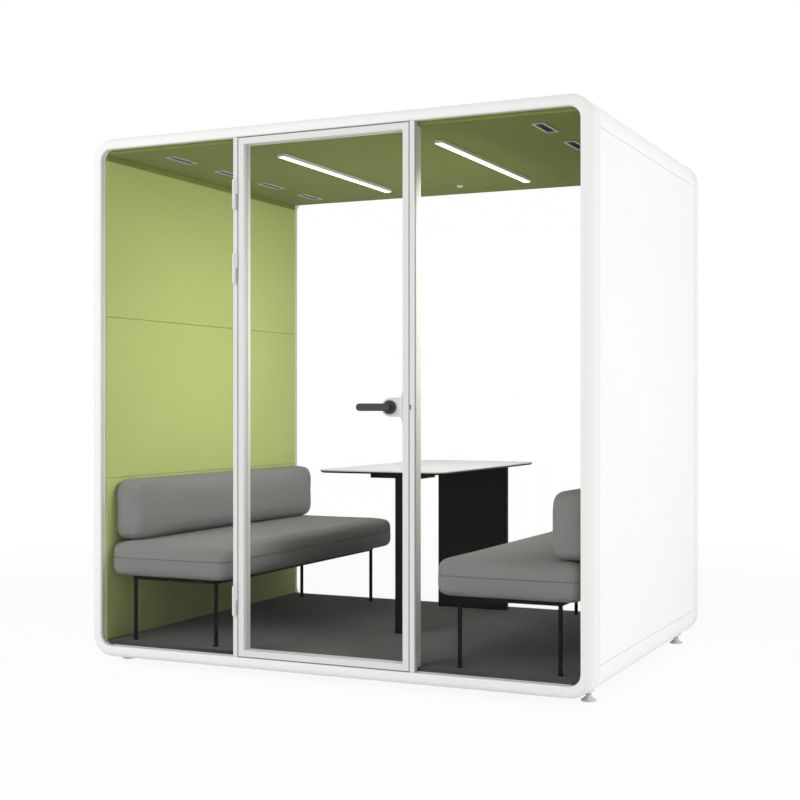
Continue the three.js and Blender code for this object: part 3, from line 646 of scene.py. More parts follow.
FINISHES: dict[Slot, Finish] = {
    Slot.FRAME: Lacquer((0.84, 0.84, 0.825), joints_x=(1.023,), joints_z=(0.152, 2.183)),
    Slot.PANEL: Lacquer((0.92, 0.92, 0.905), roughness=0.42, coat=0.05),
    Slot.COAT: Lacquer((0.7, 0.7, 0.69), roughness=0.38),
    # The felt's second colour and its two heights are the painted shade on the ceiling.
    Slot.FELT: Felt((0.5, 0.575, 0.2), (0.215, 0.255, 0.054), (2.206, 2.2145)),
    Slot.CARPET: Pile((0.031, 0.031, 0.029), (0.112, 0.112, 0.107)),
    Slot.GLASS: ClearGlass(),
    Slot.RUBBER: Moulded((0.6, 0.6, 0.59), roughness=0.7, spread=0.06),
    Slot.BLACK: Moulded((0.0035, 0.0035, 0.0035), roughness=0.6, spread=0.2, specular=0.1),
    Slot.HANDLE: Moulded((0.048, 0.048, 0.045), roughness=0.5, metallic=0.2),
    Slot.STEEL: Brushed((0.5, 0.51, 0.51)),
    Slot.CLOTH: Weave((0.232, 0.231, 0.229)),
    Slot.TABLE: Lacquer((0.5, 0.498, 0.5), roughness=0.4),
    Slot.CHANNEL: Moulded((0.66, 0.66, 0.64), roughness=0.45, metallic=0.15, spread=0.04),
    Slot.OPAL: Opal((1.0, 1.0, 0.975), 2.0),
    Slot.DUCT: Louvre((0.62, 0.63, 0.62), (0.15, 0.165, 0.18), 2.2362),
    Slot.FAN: Moulded((0.03, 0.032, 0.034), roughness=0.55),
    Slot.SENSOR: Moulded((0.86, 0.86, 0.84), roughness=0.4, spread=0.03),
}


class Paints:
    """Makes each finish's material once."""

    def __init__(self) -> None:
        """Start with none made."""
        self.made: dict[Slot, bpy.types.Material] = {}

    def of(self, slot: Slot) -> bpy.types.Material:
        """Find a slot's material, or make it.

        Args:
            slot: The slot.

        Returns:
            Its material.
        """
        if slot not in self.made:
            self.made[slot] = FINISHES[slot].make(slot.value)
        return self.made[slot]


PAINTS = Paints()


def only(kind: type, found: Iterable[Any]) -> list[Any]:
    """The elements of one kind among those that an operator gives back."""
    return [element for element in found if isinstance(element, kind)]


class Solid:
    """A mesh in the making, shaped by bmesh operators."""

    def __init__(self) -> None:
        """Start empty."""
        self.bm = bmesh.new()

    def block(self, low: Point, high: Point) -> "Solid":
        """Add a box.

        Args:
            low: Its least corner.
            high: Its greatest corner.

        Returns:
            This solid.
        """
        made = bmesh.ops.create_cube(self.bm, size=1.0)["verts"]
        bmesh.ops.scale(self.bm, vec=Vector(high) - Vector(low), verts=made)
        bmesh.ops.translate(self.bm, vec=(Vector(high) + Vector(low)) / 2, verts=made)
        return self

    def rod(self, start: Point, end: Point, radius: float, segments: int = 40) -> "Solid":
        """Add a round bar.

        Args:
            start: Middle of one end.
            end: Middle of the other end.
            radius: Radius.
            segments: Sides.

        Returns:
            This solid.
        """
        axis = Vector(end) - Vector(start)
        made = bmesh.ops.create_cone(self.bm, cap_ends=True, segments=segments, radius1=radius,
                                     radius2=radius, depth=axis.length)["verts"]
        turn = Vector((0.0, 0.0, 1.0)).rotation_difference(axis).to_matrix()
        bmesh.ops.rotate(self.bm, cent=(0.0, 0.0, 0.0), matrix=turn, verts=made)
        bmesh.ops.translate(self.bm, vec=(Vector(start) + Vector(end)) / 2, verts=made)
        return self

    def turned(self, profile: Sequence[Point], middle: Point, steps: int = 48) -> "Solid":
        """Add a solid of revolution about Z.

        Args:
            profile: Points of (radius, height) that start and end on the axis.
            middle: The axis's foot.
            steps: Sides.

        Returns:
            This solid.
        """
        verts = [self.bm.verts.new((middle[0] + r, middle[1], middle[2] + h)) for r, h in profile]
        edges = [self.bm.edges.new(pair) for pair in zip(verts, verts[1:])]
        bmesh.ops.spin(self.bm, geom=verts + edges, cent=Vector(middle), axis=(0.0, 0.0, 1.0),
                       dvec=(0.0, 0.0, 0.0), angle=2.0 * math.pi, steps=steps, use_merge=True)
        return self.closed()

    def closed(self, gap: float = 1e-6) -> "Solid":
        """Merge doubles and turn the faces outwards.

        Args:
            gap: Distance up to which corners are merged.

        Returns:
            This solid.
        """
        bmesh.ops.remove_doubles(self.bm, verts=self.bm.verts[:], dist=gap)
        bmesh.ops.recalc_face_normals(self.bm, faces=self.bm.faces[:])
        return self

    def rounded(self, width: float, segments: int = 3,
                pick: Callable[[bmesh.types.BMEdge], bool] | None = None) -> "Solid":
        """Bevel edges.

        Args:
            width: Width of the bevel.
            segments: Steps of its arc.
            pick: Says which edges; the sharp ones if left out.

        Returns:
            This solid.
        """
        wanted = pick or (lambda edge: edge.is_manifold and edge.calc_face_angle() > math.radians(40))
        edges = [edge for edge in self.bm.edges if wanted(edge)]
        bmesh.ops.bevel(self.bm, geom=edges, offset=width, offset_type="OFFSET", segments=segments,
                        profile=0.5, affect="EDGES", material=-1, clamp_overlap=True)
        return self

    def with_copy_of(self, node: str) -> "Solid":
        """Add a merged copy of a CAD node's mesh.

        Args:
            node: The node's name.

        Returns:
            This solid.
        """
        self.bm.from_mesh(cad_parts[node].data)
        bmesh.ops.remove_doubles(self.bm, verts=self.bm.verts[:], dist=1e-5)
        bmesh.ops.dissolve_limit(self.bm, angle_limit=math.radians(1.0), verts=self.bm.verts[:],
                                 edges=self.bm.edges[:])
        return self

    def join(self, *others: "Solid") -> "Solid":
        """Take in other solids.

        Args:
            others: Solids that end up in this one.

        Returns:
            This solid.
        """
        for other in others:
            mesh = bpy.data.meshes.new("joined")
            other.bm.to_mesh(mesh)
            other.bm.free()
            self.bm.from_mesh(mesh)
            bpy.data.meshes.remove(mesh)
        return self

    def moved(self, matrix: Matrix) -> "Solid":
        """Turn or shift the whole solid."""
        bmesh.ops.transform(self.bm, matrix=matrix, verts=self.bm.verts[:])
        return self

    def mesh(self, name: str, smooth: float = 35.0) -> bpy.types.Mesh:
        """Finish the mesh.

        Args:
            name: Name of the mesh.
            smooth: Angle in degrees up to which edges look smooth.

        Returns:
            The mesh.
        """
        mesh = bpy.data.meshes.new(name)
        self.bm.to_mesh(mesh)
        self.bm.free()
        mesh.shade_smooth()
        mesh.set_sharp_from_angle(angle=math.radians(smooth))
        return mesh


def set_piece(mesh: bpy.types.Mesh, body: str, slot: Slot, nodes: Iterable[str] = (),
              even: bool = True) -> bpy.types.Object:
    """Link a finished mesh as a piece of the pod.

    Args:
        mesh: The mesh, in place.
        body: Body that it rides on.
        slot: Its finish.
        nodes: CAD nodes that it stands for.
        even: Whether flat faces get even normals.

    Returns:
        The object.
    """
    piece = bpy.data.objects.new(mesh.name, mesh)
    bpy.context.scene.collection.objects.link(piece)
    mesh.materials.append(PAINTS.of(slot))
    if even:
        normals = piece.modifiers.new("even_normals", "WEIGHTED_NORMAL")
        normals.keep_sharp = True
    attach(piece, body)
    if nodes:
        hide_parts(*nodes)
    LOG.info("%s rides on %s", piece.name, body)
    return piece


def dress(slot: Slot, *nodes: str) -> None:
    """Give CAD nodes that stay visible their finish.

    Args:
        slot: The finish.
        nodes: Names of the nodes.
    """
    for node in nodes:
        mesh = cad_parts[node].data
        mesh.materials.clear()
        mesh.materials.append(PAINTS.of(slot))
        LOG.info("%s dressed in %s", node, slot.value)


def half_turn(middle_y: float) -> Matrix:
    """Half a turn about the upright axis through the middle of the pod."""
    middle = Matrix.Translation((0.0, middle_y, 0.0))
    return middle @ Matrix.Rotation(math.pi, 4, "Z") @ middle.inverted()


@dataclass
class RingFrame:
    """Rounded ring frame with a deep lip for the glass and a thinner skirt."""

    node: str
    rear: bool
    face: float = 0.048
    depth: float = 0.1
    lip: float = 0.036
    skirt: float = 0.03
    corner: float = 0.095
    outer_round: float = 0.028
    inner_round: float = 0.008
    round_steps: int = 10
    arc_steps: int = 18

    def section(self, solid: Solid, at_x: float, low_z: float, front: float) -> list[bmesh.types.BMEdge]:
        """Draw the ring's section as a loop of edges.

        Args:
            solid: Solid to draw in.
            at_x: Plane of the section.
            low_z: Level of the ring's underside.
            front: Y of the ring's front plane.

        Returns:
            The edges of the loop.
        """
        way = -1.0 if self.rear else 1.0
        points = [(0.0, self.depth), (0.0, 0.0), (self.face, 0.0), (self.face, self.lip),
                  (self.skirt, self.lip), (self.skirt, self.depth)]
        verts = [solid.bm.verts.new((at_x, front + way * d, low_z + inset)) for inset, d in points]
        solid.bm.faces.new(verts)
        for vert, radius in ((verts[1], self.outer_round), (verts[2], self.inner_round)):
            bmesh.ops.bevel(solid.bm, geom=[vert], offset=radius, offset_type="OFFSET",
                            segments=self.round_steps, profile=0.5, affect="VERTICES", material=-1)
        face = solid.bm.faces[:][0]
        edges = list(face.edges)
        bmesh.ops.delete(solid.bm, geom=[face], context="FACES_ONLY")
        return edges

    def build(self) -> bpy.types.Object:
        """Sweep the section round the pod.

        Returns:
            The ring's object.
        """
        low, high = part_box(self.node)
        solid = Solid()
        edges = self.section(solid, high.x - self.corner, low.z, high.y if self.rear else low.y)
        width = high.x - low.x - 2.0 * self.corner
        height = high.z - low.z - 2.0 * self.corner
        runs = [((high.x - self.corner, 0.0, low.z + self.corner), (0.0, 0.0, height)),
                ((high.x - self.corner, 0.0, high.z - self.corner), (-width, 0.0, 0.0)),
                ((low.x + self.corner, 0.0, high.z - self.corner), (0.0, 0.0, -height)),
                ((low.x + self.corner, 0.0, low.z + self.corner), (width, 0.0, 0.0))]
        for middle, run in runs:
            verts = list({v for edge in edges for v in edge.verts})
            spun = bmesh.ops.spin(solid.bm, geom=verts + edges, cent=middle, axis=(0.0, -1.0, 0.0),
                                  dvec=(0.0, 0.0, 0.0), angle=math.pi / 2, steps=self.arc_steps)
            edges = only(bmesh.types.BMEdge, spun["geom_last"])
            drawn = bmesh.ops.extrude_edge_only(solid.bm, edges=edges)["geom"]
            bmesh.ops.translate(solid.bm, vec=run, verts=only(bmesh.types.BMVert, drawn))
            edges = [edge for edge in only(bmesh.types.BMEdge, drawn) if all(v in drawn for v in edge.verts)]
        solid.closed(1e-5)
        return set_piece(solid.mesh(f"{self.node}_frame"), "cabin", Slot.FRAME, [self.node])


@dataclass
class Shell:
    """Roof, base and side panels between the rings, and the levelling feet."""

    panel_round: float = 0.0016
    foot_disc: float = 0.03
    foot_stem: float = 0.012
    foot_thread: float = 0.006
    stud_gap: float = 0.0006
    nut_radius: float = 0.0118
    nut_levels: tuple[float, float] = (0.0265, 0.0345)

    def build(self) -> None:
        """Build the shell's pieces."""
        for node in ("roof_shell", "base_tray"):
            set_piece(Solid().with_copy_of(node).mesh(f"{node}_skin"), "cabin", Slot.PANEL, [node])
        for side in Side:
            node = f"side_panel_{side.value}"
            solid = Solid().block(*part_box(node)).rounded(self.panel_round)
            set_piece(solid.mesh(f"{node}_skin"), "cabin", Slot.PANEL, [node])
        for end in ("front", "rear"):
            for side in Side:
                self.foot(f"foot_{end}_{side.value}")

    def foot(self, node: str) -> None:
        """Build one levelling foot: disc, dome, hexagon nut and stud.

        Args:
            node: CAD node that it stands for, and its body.
        """
        low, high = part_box(node)
        middle = ((low.x + high.x) / 2, (low.y + high.y) / 2, low.z)
        disc, stem, stud = self.foot_disc, self.foot_stem, self.foot_thread
        top = high.z - self.stud_gap
        foot = Solid().turned([(0.0, 0.0), (disc - 0.001, 0.0), (disc, 0.001), (disc, 0.0055),
                               (disc - 0.0015, 0.0068), (disc - 0.006, 0.0072), (0.0195, 0.0125),
                               (0.014, 0.0165), (stem, 0.0175), (stem, 0.0235), (0.0085, 0.0245),
                               (stud, 0.0255), (stud, top), (0.0, top)], middle)
        ends = [(*middle[:2], level) for level in self.nut_levels]
        nut = Solid().rod(*ends, self.nut_radius, 6).rounded(0.0006, 2)
        set_piece(foot.join(nut).mesh(f"{node}_levelling"), node, Slot.COAT, [node])


@dataclass
class Lining:
    """Felt wall panels, felt ceiling and carpet."""

    felt_round: float = 0.0035
    recess: float = 0.394
    recess_depth: float = 0.0267
    side_gap: float = 0.02
    tuft_width: float = 0.0016
    tuft_pitch: float = 0.0011
    tuft_tip: float = 0.0001
    tuft_root: float = 0.004
    tuft_rise: tuple[float, float] = (0.0005, 0.0045)
    tuft_lean: float = 0.25
    edge_gap: float = 0.0012
    edge_depth: float = 0.006
    seed: int = 7

    def build(self) -> None:
        """Build the lining's pieces."""
        for side in Side:
            for row in ("low", "mid", "high"):
                node = f"wall_panel_{side.value}_{row}"
                solid = Solid().block(*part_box(node)).rounded(self.felt_round, 4)
                set_piece(solid.mesh(f"{node}_felt"), "cabin", Slot.FELT, [node])
        dress(Slot.FELT, "ceiling_panel")
        self.carpet()

    def carpet(self) -> None:
        """Build the carpet with its cut pile standing up along the front and back edges."""
        solid = Solid().with_copy_of("carpet")
        low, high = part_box("carpet")
        rng = random.Random(self.seed)
        left, right = low.x + self.side_gap, high.x - self.side_gap
        runs = [(left, -self.recess, low.y), (-self.recess, self.recess, low.y + self.recess_depth),
                (self.recess, right, low.y), (left, right, high.y)]
        tufts = Solid()
        for start, end, edge in runs:
            inward = 1.0 if edge < 0.0 else -1.0
            for number in range(int((end - start) / self.tuft_pitch)):
                x = start + number * self.tuft_pitch
                y = edge + inward * (self.edge_gap + rng.random() * self.edge_depth)
                top = high.z + rng.uniform(*self.tuft_rise)
                root = high.z - self.tuft_root
                lean = Matrix.Rotation(rng.uniform(-self.tuft_lean, self.tuft_lean), 4, "Y")
                bmesh.ops.create_cone(tufts.bm, cap_ends=False, segments=3, radius1=self.tuft_width / 2,
                                      radius2=self.tuft_tip, depth=top - root,
                                      matrix=Matrix.Translation((x, y, (top + root) / 2)) @ lean)
        set_piece(solid.join(tufts).mesh("carpet_pile", 60.0), "cabin", Slot.CARPET, ["carpet"], even=False)


@dataclass
class Glazing:
    """Fixed panes, door pane and their gaskets."""

    def build(self) -> None:
        """Dress the panes and gaskets."""
        dress(Slot.GLASS, "front_glass_left", "front_glass_right", "back_glass", "door_glass")
        dress(Slot.RUBBER, "front_gasket_left", "front_gasket_right", "back_gasket", "door_gasket")


@dataclass
class Door:
    """Door leaf, posts, lock, hinges and lever handles."""

    frame_width: float = 0.027
    edge_round: float = 0.0022
    hub_radius: float = 0.0275
    hub_depth: float = 0.01
    hub_round: float = 0.0022
    hub_gap: float = 0.0003
    neck_radius: float = 0.009
    neck_start: float = 0.008
    neck_end: float = 0.006
    arm_height: float = 0.03
    arm_depth: float = 0.013
    arm_round: float = 0.0035
    arm_end: float = 0.96
    spindle_radius: float = 0.006
    spindle_length: float = 0.0555

    def build(self) -> None:
        """Build the door's pieces."""
        self.leaf()
        for side in Side:
            node = f"door_post_{side.value}"
            set_piece(Solid().with_copy_of(node).mesh(f"{node}_profile"), "cabin", Slot.COAT, [node])
        dress(Slot.COAT, "lock_case", *[f"hinge_{place}_{half}_knuckle" for place in ("top", "upper", "lower")
                                        for half in ("post", "door")])
        dress(Slot.STEEL, "latch_bolt")
        self.lever("lever_outer", -1.0)
        self.lever("lever_inner", 1.0)

    def leaf(self) -> None:
        """Build the leaf's frame from one inset face drawn out to its depth."""
        low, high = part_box("door_frame")
        solid = Solid()
        outline = [(low.x, low.y, low.z), (high.x, low.y, low.z), (high.x, low.y, high.z),
                   (low.x, low.y, high.z)]
        face = solid.bm.faces.new([solid.bm.verts.new(point) for point in outline])
        solid.bm.normal_update()
        bmesh.ops.inset_region(solid.bm, faces=[face], thickness=self.frame_width, use_even_offset=True,
                               use_boundary=True)
        bmesh.ops.delete(solid.bm, geom=[face], context="FACES")
        drawn = bmesh.ops.extrude_face_region(solid.bm, geom=solid.bm.faces[:])["geom"]
        bmesh.ops.translate(solid.bm, vec=(0.0, high.y - low.y, 0.0), verts=only(bmesh.types.BMVert, drawn))
        solid.closed().rounded(self.edge_round)
        set_piece(solid.mesh("door_leaf_frame"), "door", Slot.COAT, ["door_frame"])

    def across(self, edge: bmesh.types.BMEdge) -> bool:
        """Whether an edge of the arm runs through its depth."""
        return abs(edge.verts[0].co.y - edge.verts[1].co.y) > self.arm_depth / 2

    def lever(self, node: str, way: float) -> None:
        """Build one lever: domed rose, neck and rounded arm.

        Args:
            node: CAD node that it stands for.
            way: Direction along Y in which it stands off the leaf.
        """
        low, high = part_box(node)
        x = high.x - self.hub_radius
        z = (low.z + high.z) / 2
        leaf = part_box("door_frame")[0 if way < 0.0 else 1].y + way * self.hub_gap
        tip = low.y if way < 0.0 else high.y
        rose = Solid().rod((x, leaf, z), (x, leaf + way * self.hub_depth, z), self.hub_radius, 64)
        rose.rounded(self.hub_round, 4)
        neck = Solid().rod((x, leaf + way * self.neck_start, z), (x, tip - way * self.neck_end, z),
                           self.neck_radius, 40)
        half = self.arm_height / 2
        near, far = sorted((tip, tip - way * self.arm_depth))
        arm = Solid().block((low.x, near, z - half), (x + half, far, z + half))
        arm.rounded(half * self.arm_end, 10, self.across)
        arm.rounded(self.arm_round, 4)
        spindle = Solid().rod((x, leaf, z), (x, leaf - way * self.spindle_length, z), self.spindle_radius, 24)
        whole = rose.join(neck, arm, spindle) if way < 0.0 else rose.join(neck, arm)
        set_piece(whole.mesh(f"{node}_handle"), "handle", Slot.HANDLE, [node])


@dataclass
class Upholstery:
    """One padded cushion, swollen by a cloth simulation and sewn."""

    kind: str
    voxel: float
    shrink: float
    cap: float
    flat_axis: int
    flat_high: bool
    seam: float | None
    sink: float = 0.0
    square: float = 1.25
    reach: float = 0.06
    frames: int = 14
    pressure: float = 2.0
    stiffness: float = 30.0
    bending: float = 8.0
    quality: int = 4
    held_depth: float = 0.004
    smoothings: int = 3
    seam_half: float = 0.0045
    seam_depth: float = 0.0045

    @property
    def node(self) -> str:
        """Name of the right-hand CAD cushion."""
        return f"{self.kind}_cushion_right"

    def start(self) -> bpy.types.Object:
        """Copy the right-hand CAD cushion, a little smaller, into an even mesh.

        Returns:
            The remeshed object.
        """
        solid = Solid()
        solid.bm.from_mesh(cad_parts[self.node].data)
        solid.closed()
        low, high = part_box(self.node)
        middle = (low + high) / 2
        scale = Vector([1.0 - 2.0 * self.shrink / side for side in high - low])
        shift = Matrix.Translation(middle)
        solid.moved(shift @ Matrix.Diagonal((*scale, 1.0)) @ shift.inverted())
        drop = Vector((0.0, 0.0, 0.0))
        drop[self.flat_axis] = self.shrink if self.flat_high else -self.shrink
        solid.moved(Matrix.Translation(drop))
        raw = bpy.data.objects.new("pad", solid.mesh("pad"))
        bpy.context.scene.collection.objects.link(raw)
        remesh = raw.modifiers.new("even", "REMESH")
        remesh.mode = "VOXEL"
        remesh.voxel_size = self.voxel
        return raw

    def baked(self, raw: bpy.types.Object) -> bpy.types.Mesh:
        """The mesh of an object with its modifiers applied."""
        graph = bpy.context.evaluated_depsgraph_get()
        return bpy.data.meshes.new_from_object(raw.evaluated_get(graph))

    def swell(self) -> bpy.types.Mesh:
        """Blow the pad up against its cover, keeping the face that it rests on flat.

        Returns:
            The swollen mesh.
        """
        raw = self.start()
        mesh = self.baked(raw)
        raw.modifiers.clear()
        raw.data = mesh
        rest = [vert.co.copy() for vert in mesh.vertices]
        levels = [point[self.flat_axis] for point in rest]
        base = max(levels) if self.flat_high else min(levels)
        held = raw.vertex_groups.new(name="held")
        resting = [i for i, level in enumerate(levels) if abs(level - base) < self.held_depth]
        held.add(resting, 1.0, "REPLACE")
        cloth = raw.modifiers.new("cover", "CLOTH")
        cloth.settings.vertex_group_mass = "held"
        cloth.settings.use_pressure = True
        cloth.settings.uniform_pressure_force = self.pressure
        cloth.settings.tension_stiffness = self.stiffness
        cloth.settings.compression_stiffness = self.stiffness
        cloth.settings.shear_stiffness = self.stiffness
        cloth.settings.bending_stiffness = self.bending
        cloth.settings.quality = self.quality
        cloth.settings.effector_weights.gravity = 0.0
        cloth.collision_settings.use_collision = False
        scene = bpy.context.scene
        for number in range(1, self.frames + 1):
            scene.frame_set(number)
        moved = [vert.co.copy() for vert in self.baked(raw).vertices]
        scene.frame_set(1)
        raw.modifiers.clear()
        low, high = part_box(self.node)
        for vert, start, end in zip(mesh.vertices, rest, moved):
            step = end - start
            if step.length > self.cap:
                step *= self.cap / step.length
            place = start + step
            vert.co = [min(max(place[axis], low[axis]), high[axis]) for axis in range(3)]
        bpy.data.objects.remove(raw)
        return mesh

    def fitted(self, solid: Solid) -> Solid:
        """Stretch a cover until it fills the box of its CAD cushion, with squarer sides.

        Args:
            solid: The smoothed cover.

        Returns:
            The same cover, fitted.
        """
        low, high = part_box(self.node)
        least, most = [Vector([pick(vert.co[axis] for vert in solid.bm.verts) for axis in range(3)])
                       for pick in (min, max)]
        scale = [(high[axis] - low[axis]) / (most[axis] - least[axis]) for axis in range(3)]
        solid.moved(Matrix.Translation(low) @ Matrix.Diagonal((*scale, 1.0)) @ Matrix.Translation(-least))
        for vert in solid.bm.verts:
            for axis in range(3):
                for face, inward in ((low[axis], 1.0), (high[axis], -1.0)):
                    share = max(0.0, (vert.co[axis] - face) * inward / self.reach)
                    if share < 1.0:
                        vert.co[axis] = face + inward * self.reach * share ** self.square
        return solid.moved(Matrix.Translation((0.0, 0.0, -self.sink)))

    def sewn(self, mesh: bpy.types.Mesh) -> Solid:
        """Smooth the cover, fit it and draw in its seam.

        Args:
            mesh: The swollen mesh.

        Returns:
            The cushion as a solid.
        """
        solid = Solid()
        solid.bm.from_mesh(mesh)
        for _ in range(self.smoothings):
            bmesh.ops.smooth_vert(solid.bm, verts=solid.bm.verts[:], factor=0.5, use_axis_x=True,
                                  use_axis_y=True, use_axis_z=True)
        self.fitted(solid)
        if self.seam is not None:
            self.cut(solid, self.seam - self.seam_half)
            line = self.cut(solid, self.seam)
            self.cut(solid, self.seam + self.seam_half)
            solid.bm.normal_update()
            for vert, normal in [(vert, vert.normal.copy()) for vert in line if vert.is_valid]:
                vert.co -= normal * self.seam_depth
        return solid

    def cut(self, solid: Solid, level: float) -> list[bmesh.types.BMVert]:
        """Cut the faces of a cover along a level plane.

        Args:
            solid: The cover.
            level: Height of the plane.

        Returns:
            The corners on the cut.
        """
        whole = solid.bm.verts[:] + solid.bm.edges[:] + solid.bm.faces[:]
        made = bmesh.ops.bisect_plane(solid.bm, geom=whole, plane_co=(0.0, 0.0, level),
                                      plane_no=(0.0, 0.0, 1.0))
        return only(bmesh.types.BMVert, made["geom_cut"])

    def build(self, middle_y: float) -> None:
        """Build the right cushion and the left one, turned half round.

        Args:
            middle_y: Y of the upright axis of the turn.
        """
        solid = self.sewn(self.swell())
        mesh = solid.mesh(f"{self.kind}_cushion_cover_right", 60.0)
        other = mesh.copy()
        other.name = f"{self.kind}_cushion_cover_left"
        other.transform(half_turn(middle_y))
        for side, made in ((Side.RIGHT, mesh), (Side.LEFT, other)):
            piece = set_piece(made, "cabin", Slot.CLOTH, [f"{self.kind}_cushion_{side.value}"], even=False)


@dataclass
class Benches:
    """Bench frames and their cushions."""

    leg_radius: float = 0.0087
    rail_depth: float = 0.017
    rail_round: float = 0.0022
    rail_gap: float = 0.004
    leg_inset: float = 0.009
    glide: float = 0.0115
    glide_height: float = 0.006
    glide_round: float = 0.0012
    seam_height: float = 0.08

    def build(self, middle_y: float) -> None:
        """Build both benches.

        Args:
            middle_y: Y of the middle of the pod's shell.
        """
        for side in Side:
            self.frame(f"bench_frame_{side.value}")
        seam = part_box("seat_cushion_right")[0].z + self.seam_height
        Upholstery("seat", voxel=0.0075, shrink=0.004, cap=0.007, flat_axis=2, flat_high=False,
                   seam=seam).build(middle_y)
        Upholstery("back", voxel=0.0065, shrink=0.004, cap=0.007, flat_axis=0, flat_high=True,
                   seam=None, sink=0.005).build(middle_y)

    def frame(self, node: str) -> None:
        """Build one welded frame: bevelled rails, round legs and their glides.

        Args:
            node: CAD node that it stands for.
        """
        low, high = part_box(node)
        under = high.z - self.rail_depth
        wide = 2.0 * self.leg_inset
        whole = Solid()
        for x in (low.x, high.x - wide):
            rail = Solid().block((x, low.y, under), (x + wide, high.y, high.z))
            whole.join(rail.rounded(self.rail_round))
        for y in (low.y, high.y - wide):
            rail = Solid().block((low.x + self.rail_gap, y, under),
                                 (high.x - self.rail_gap, y + wide, high.z))
            whole.join(rail.rounded(self.rail_round))
        for x in (low.x + self.leg_inset, high.x - self.leg_inset):
            for y in (low.y + self.leg_inset, high.y - self.leg_inset):
                foot = low.z + self.glide_height
                leg = Solid().rod((x, y, foot - self.glide_height / 2), (x, y, high.z - self.rail_gap),
                                  self.leg_radius, 36)
                glide = Solid().rod((x, y, low.z), (x, y, foot), self.glide, 36)
                whole.join(leg, glide.rounded(self.glide_round))
        set_piece(whole.mesh(f"{node}_tubes"), "cabin", Slot.BLACK, [node])


@dataclass
class Table:
    """Table top with a dark bevelled edge, front post with its plate, and panel leg."""

    corner: float = 0.06
    bevel: float = 0.008
    top_skin: float = 0.0022
    post_width: float = 0.052
    post_length: float = 0.06
    post_round: float = 0.0028
    post_sunk: float = 0.004
    plate: float = 0.028
    plate_round: float = 0.0016
    panel_round: float = 0.0022
    skin_round: float = 0.0007
    outlet_half: float = 0.032
    outlet_drop: tuple[float, float] = (0.075, 0.035)
    outlet_depth: tuple[float, float] = (0.0035, 0.002)

    def build(self) -> None:
        """Build the table's pieces."""
        self.top()
        low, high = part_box("table_post")
        middle = (low + high) / 2
        half = Vector((self.post_width, self.post_length)) / 2
        post = Solid().block((middle.x - half.x, middle.y - half.y, low.z),
                             (middle.x + half.x, middle.y + half.y, high.z - self.post_sunk))
        post.rounded(self.post_round)
        plate = Solid().block((low.x, low.y, high.z - self.plate), high).rounded(self.plate_round)
        set_piece(post.join(plate).mesh("table_post_steel"), "cabin", Slot.BLACK, ["table_post"])
        low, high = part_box("table_panel_leg")
        panel = Solid().block(low, high).rounded(self.panel_round)
        (under, over), (proud, sunk) = self.outlet_drop, self.outlet_depth
        outlet = Solid().block((middle.x - self.outlet_half, low.y - proud, high.z - under),
                               (middle.x + self.outlet_half, low.y + sunk, high.z - over))
        panel.join(outlet.rounded(self.plate_round))
        set_piece(panel.mesh("table_panel_board"), "cabin", Slot.BLACK, ["table_panel_leg"])

    def upright(self, edge: bmesh.types.BMEdge) -> bool:
        """Whether an edge of the top stands upright."""
        return abs(edge.verts[0].co.z - edge.verts[1].co.z) > self.top_skin / 2

    def top(self) -> None:
        """Build the top as a white sheet over a dark bevelled core."""
        low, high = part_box("table_top")
        level = high.z - self.top_skin
        core = Solid().block(low, (high.x, high.y, level)).rounded(self.corner, 16, self.upright)
        core.rounded(self.bevel, 1, lambda edge: all(v.co.z < low.z + 1e-5 for v in edge.verts)
                     and edge.calc_face_angle(0.0) > 1.0)
        sheet = Solid().block((low.x, low.y, level), high).rounded(self.corner, 16, self.upright)
        sheet.rounded(self.skin_round, 2, lambda edge: all(v.co.z > high.z - 1e-5 for v in edge.verts)
                      and edge.calc_face_angle(0.0) > 1.0)
        core_faces = len(core.bm.faces)
        mesh = core.join(sheet).mesh("table_top_board")
        piece = set_piece(mesh, "cabin", Slot.TABLE, ["table_top"])
        mesh.materials.append(PAINTS.of(Slot.BLACK))
        for face in list(piece.data.polygons)[:core_faces]:
            face.material_index = 1


@dataclass
class Services:
    """Lights, vents, fans, sensor and power unit."""

    housing_round: float = 0.0008
    strip_round: float = 0.0014
    sensor_radius: float = 0.0165
    sensor_sunk: float = 0.0183

    def build(self) -> None:
        """Build and dress the services."""
        for side in Side:
            housing = f"light_housing_{side.value}"
            channel = Solid().with_copy_of(housing).rounded(self.housing_round, 2)
            set_piece(channel.mesh(f"{housing}_channel"), "cabin", Slot.CHANNEL, [housing])
            strip = f"light_diffuser_{side.value}"
            opal = Solid().block(*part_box(strip)).rounded(self.strip_round, 3)
            set_piece(opal.mesh(f"{strip}_opal"), "cabin", Slot.OPAL, [strip])
            dress(Slot.DUCT, f"air_duct_{side.value}")
            dress(Slot.FAN, f"fan_rotor_{side.value}")
        dress(Slot.FAN, "power_unit")
        low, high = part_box("ceiling_sensor")
        middle = ((low.x + high.x) / 2, (low.y + high.y) / 2, 0.0)
        rim = high.z - self.sensor_sunk
        sensor = Solid().turned([(0.0, low.z), (0.006, low.z + 0.0004), (0.011, low.z + 0.0018),
                                 (0.0148, low.z + 0.0044), (self.sensor_radius, low.z + 0.0068),
                                 (self.sensor_radius, rim), (0.0, rim)], middle)
        set_piece(sensor.mesh("ceiling_sensor_dome"), "cabin", Slot.SENSOR, ["ceiling_sensor"])


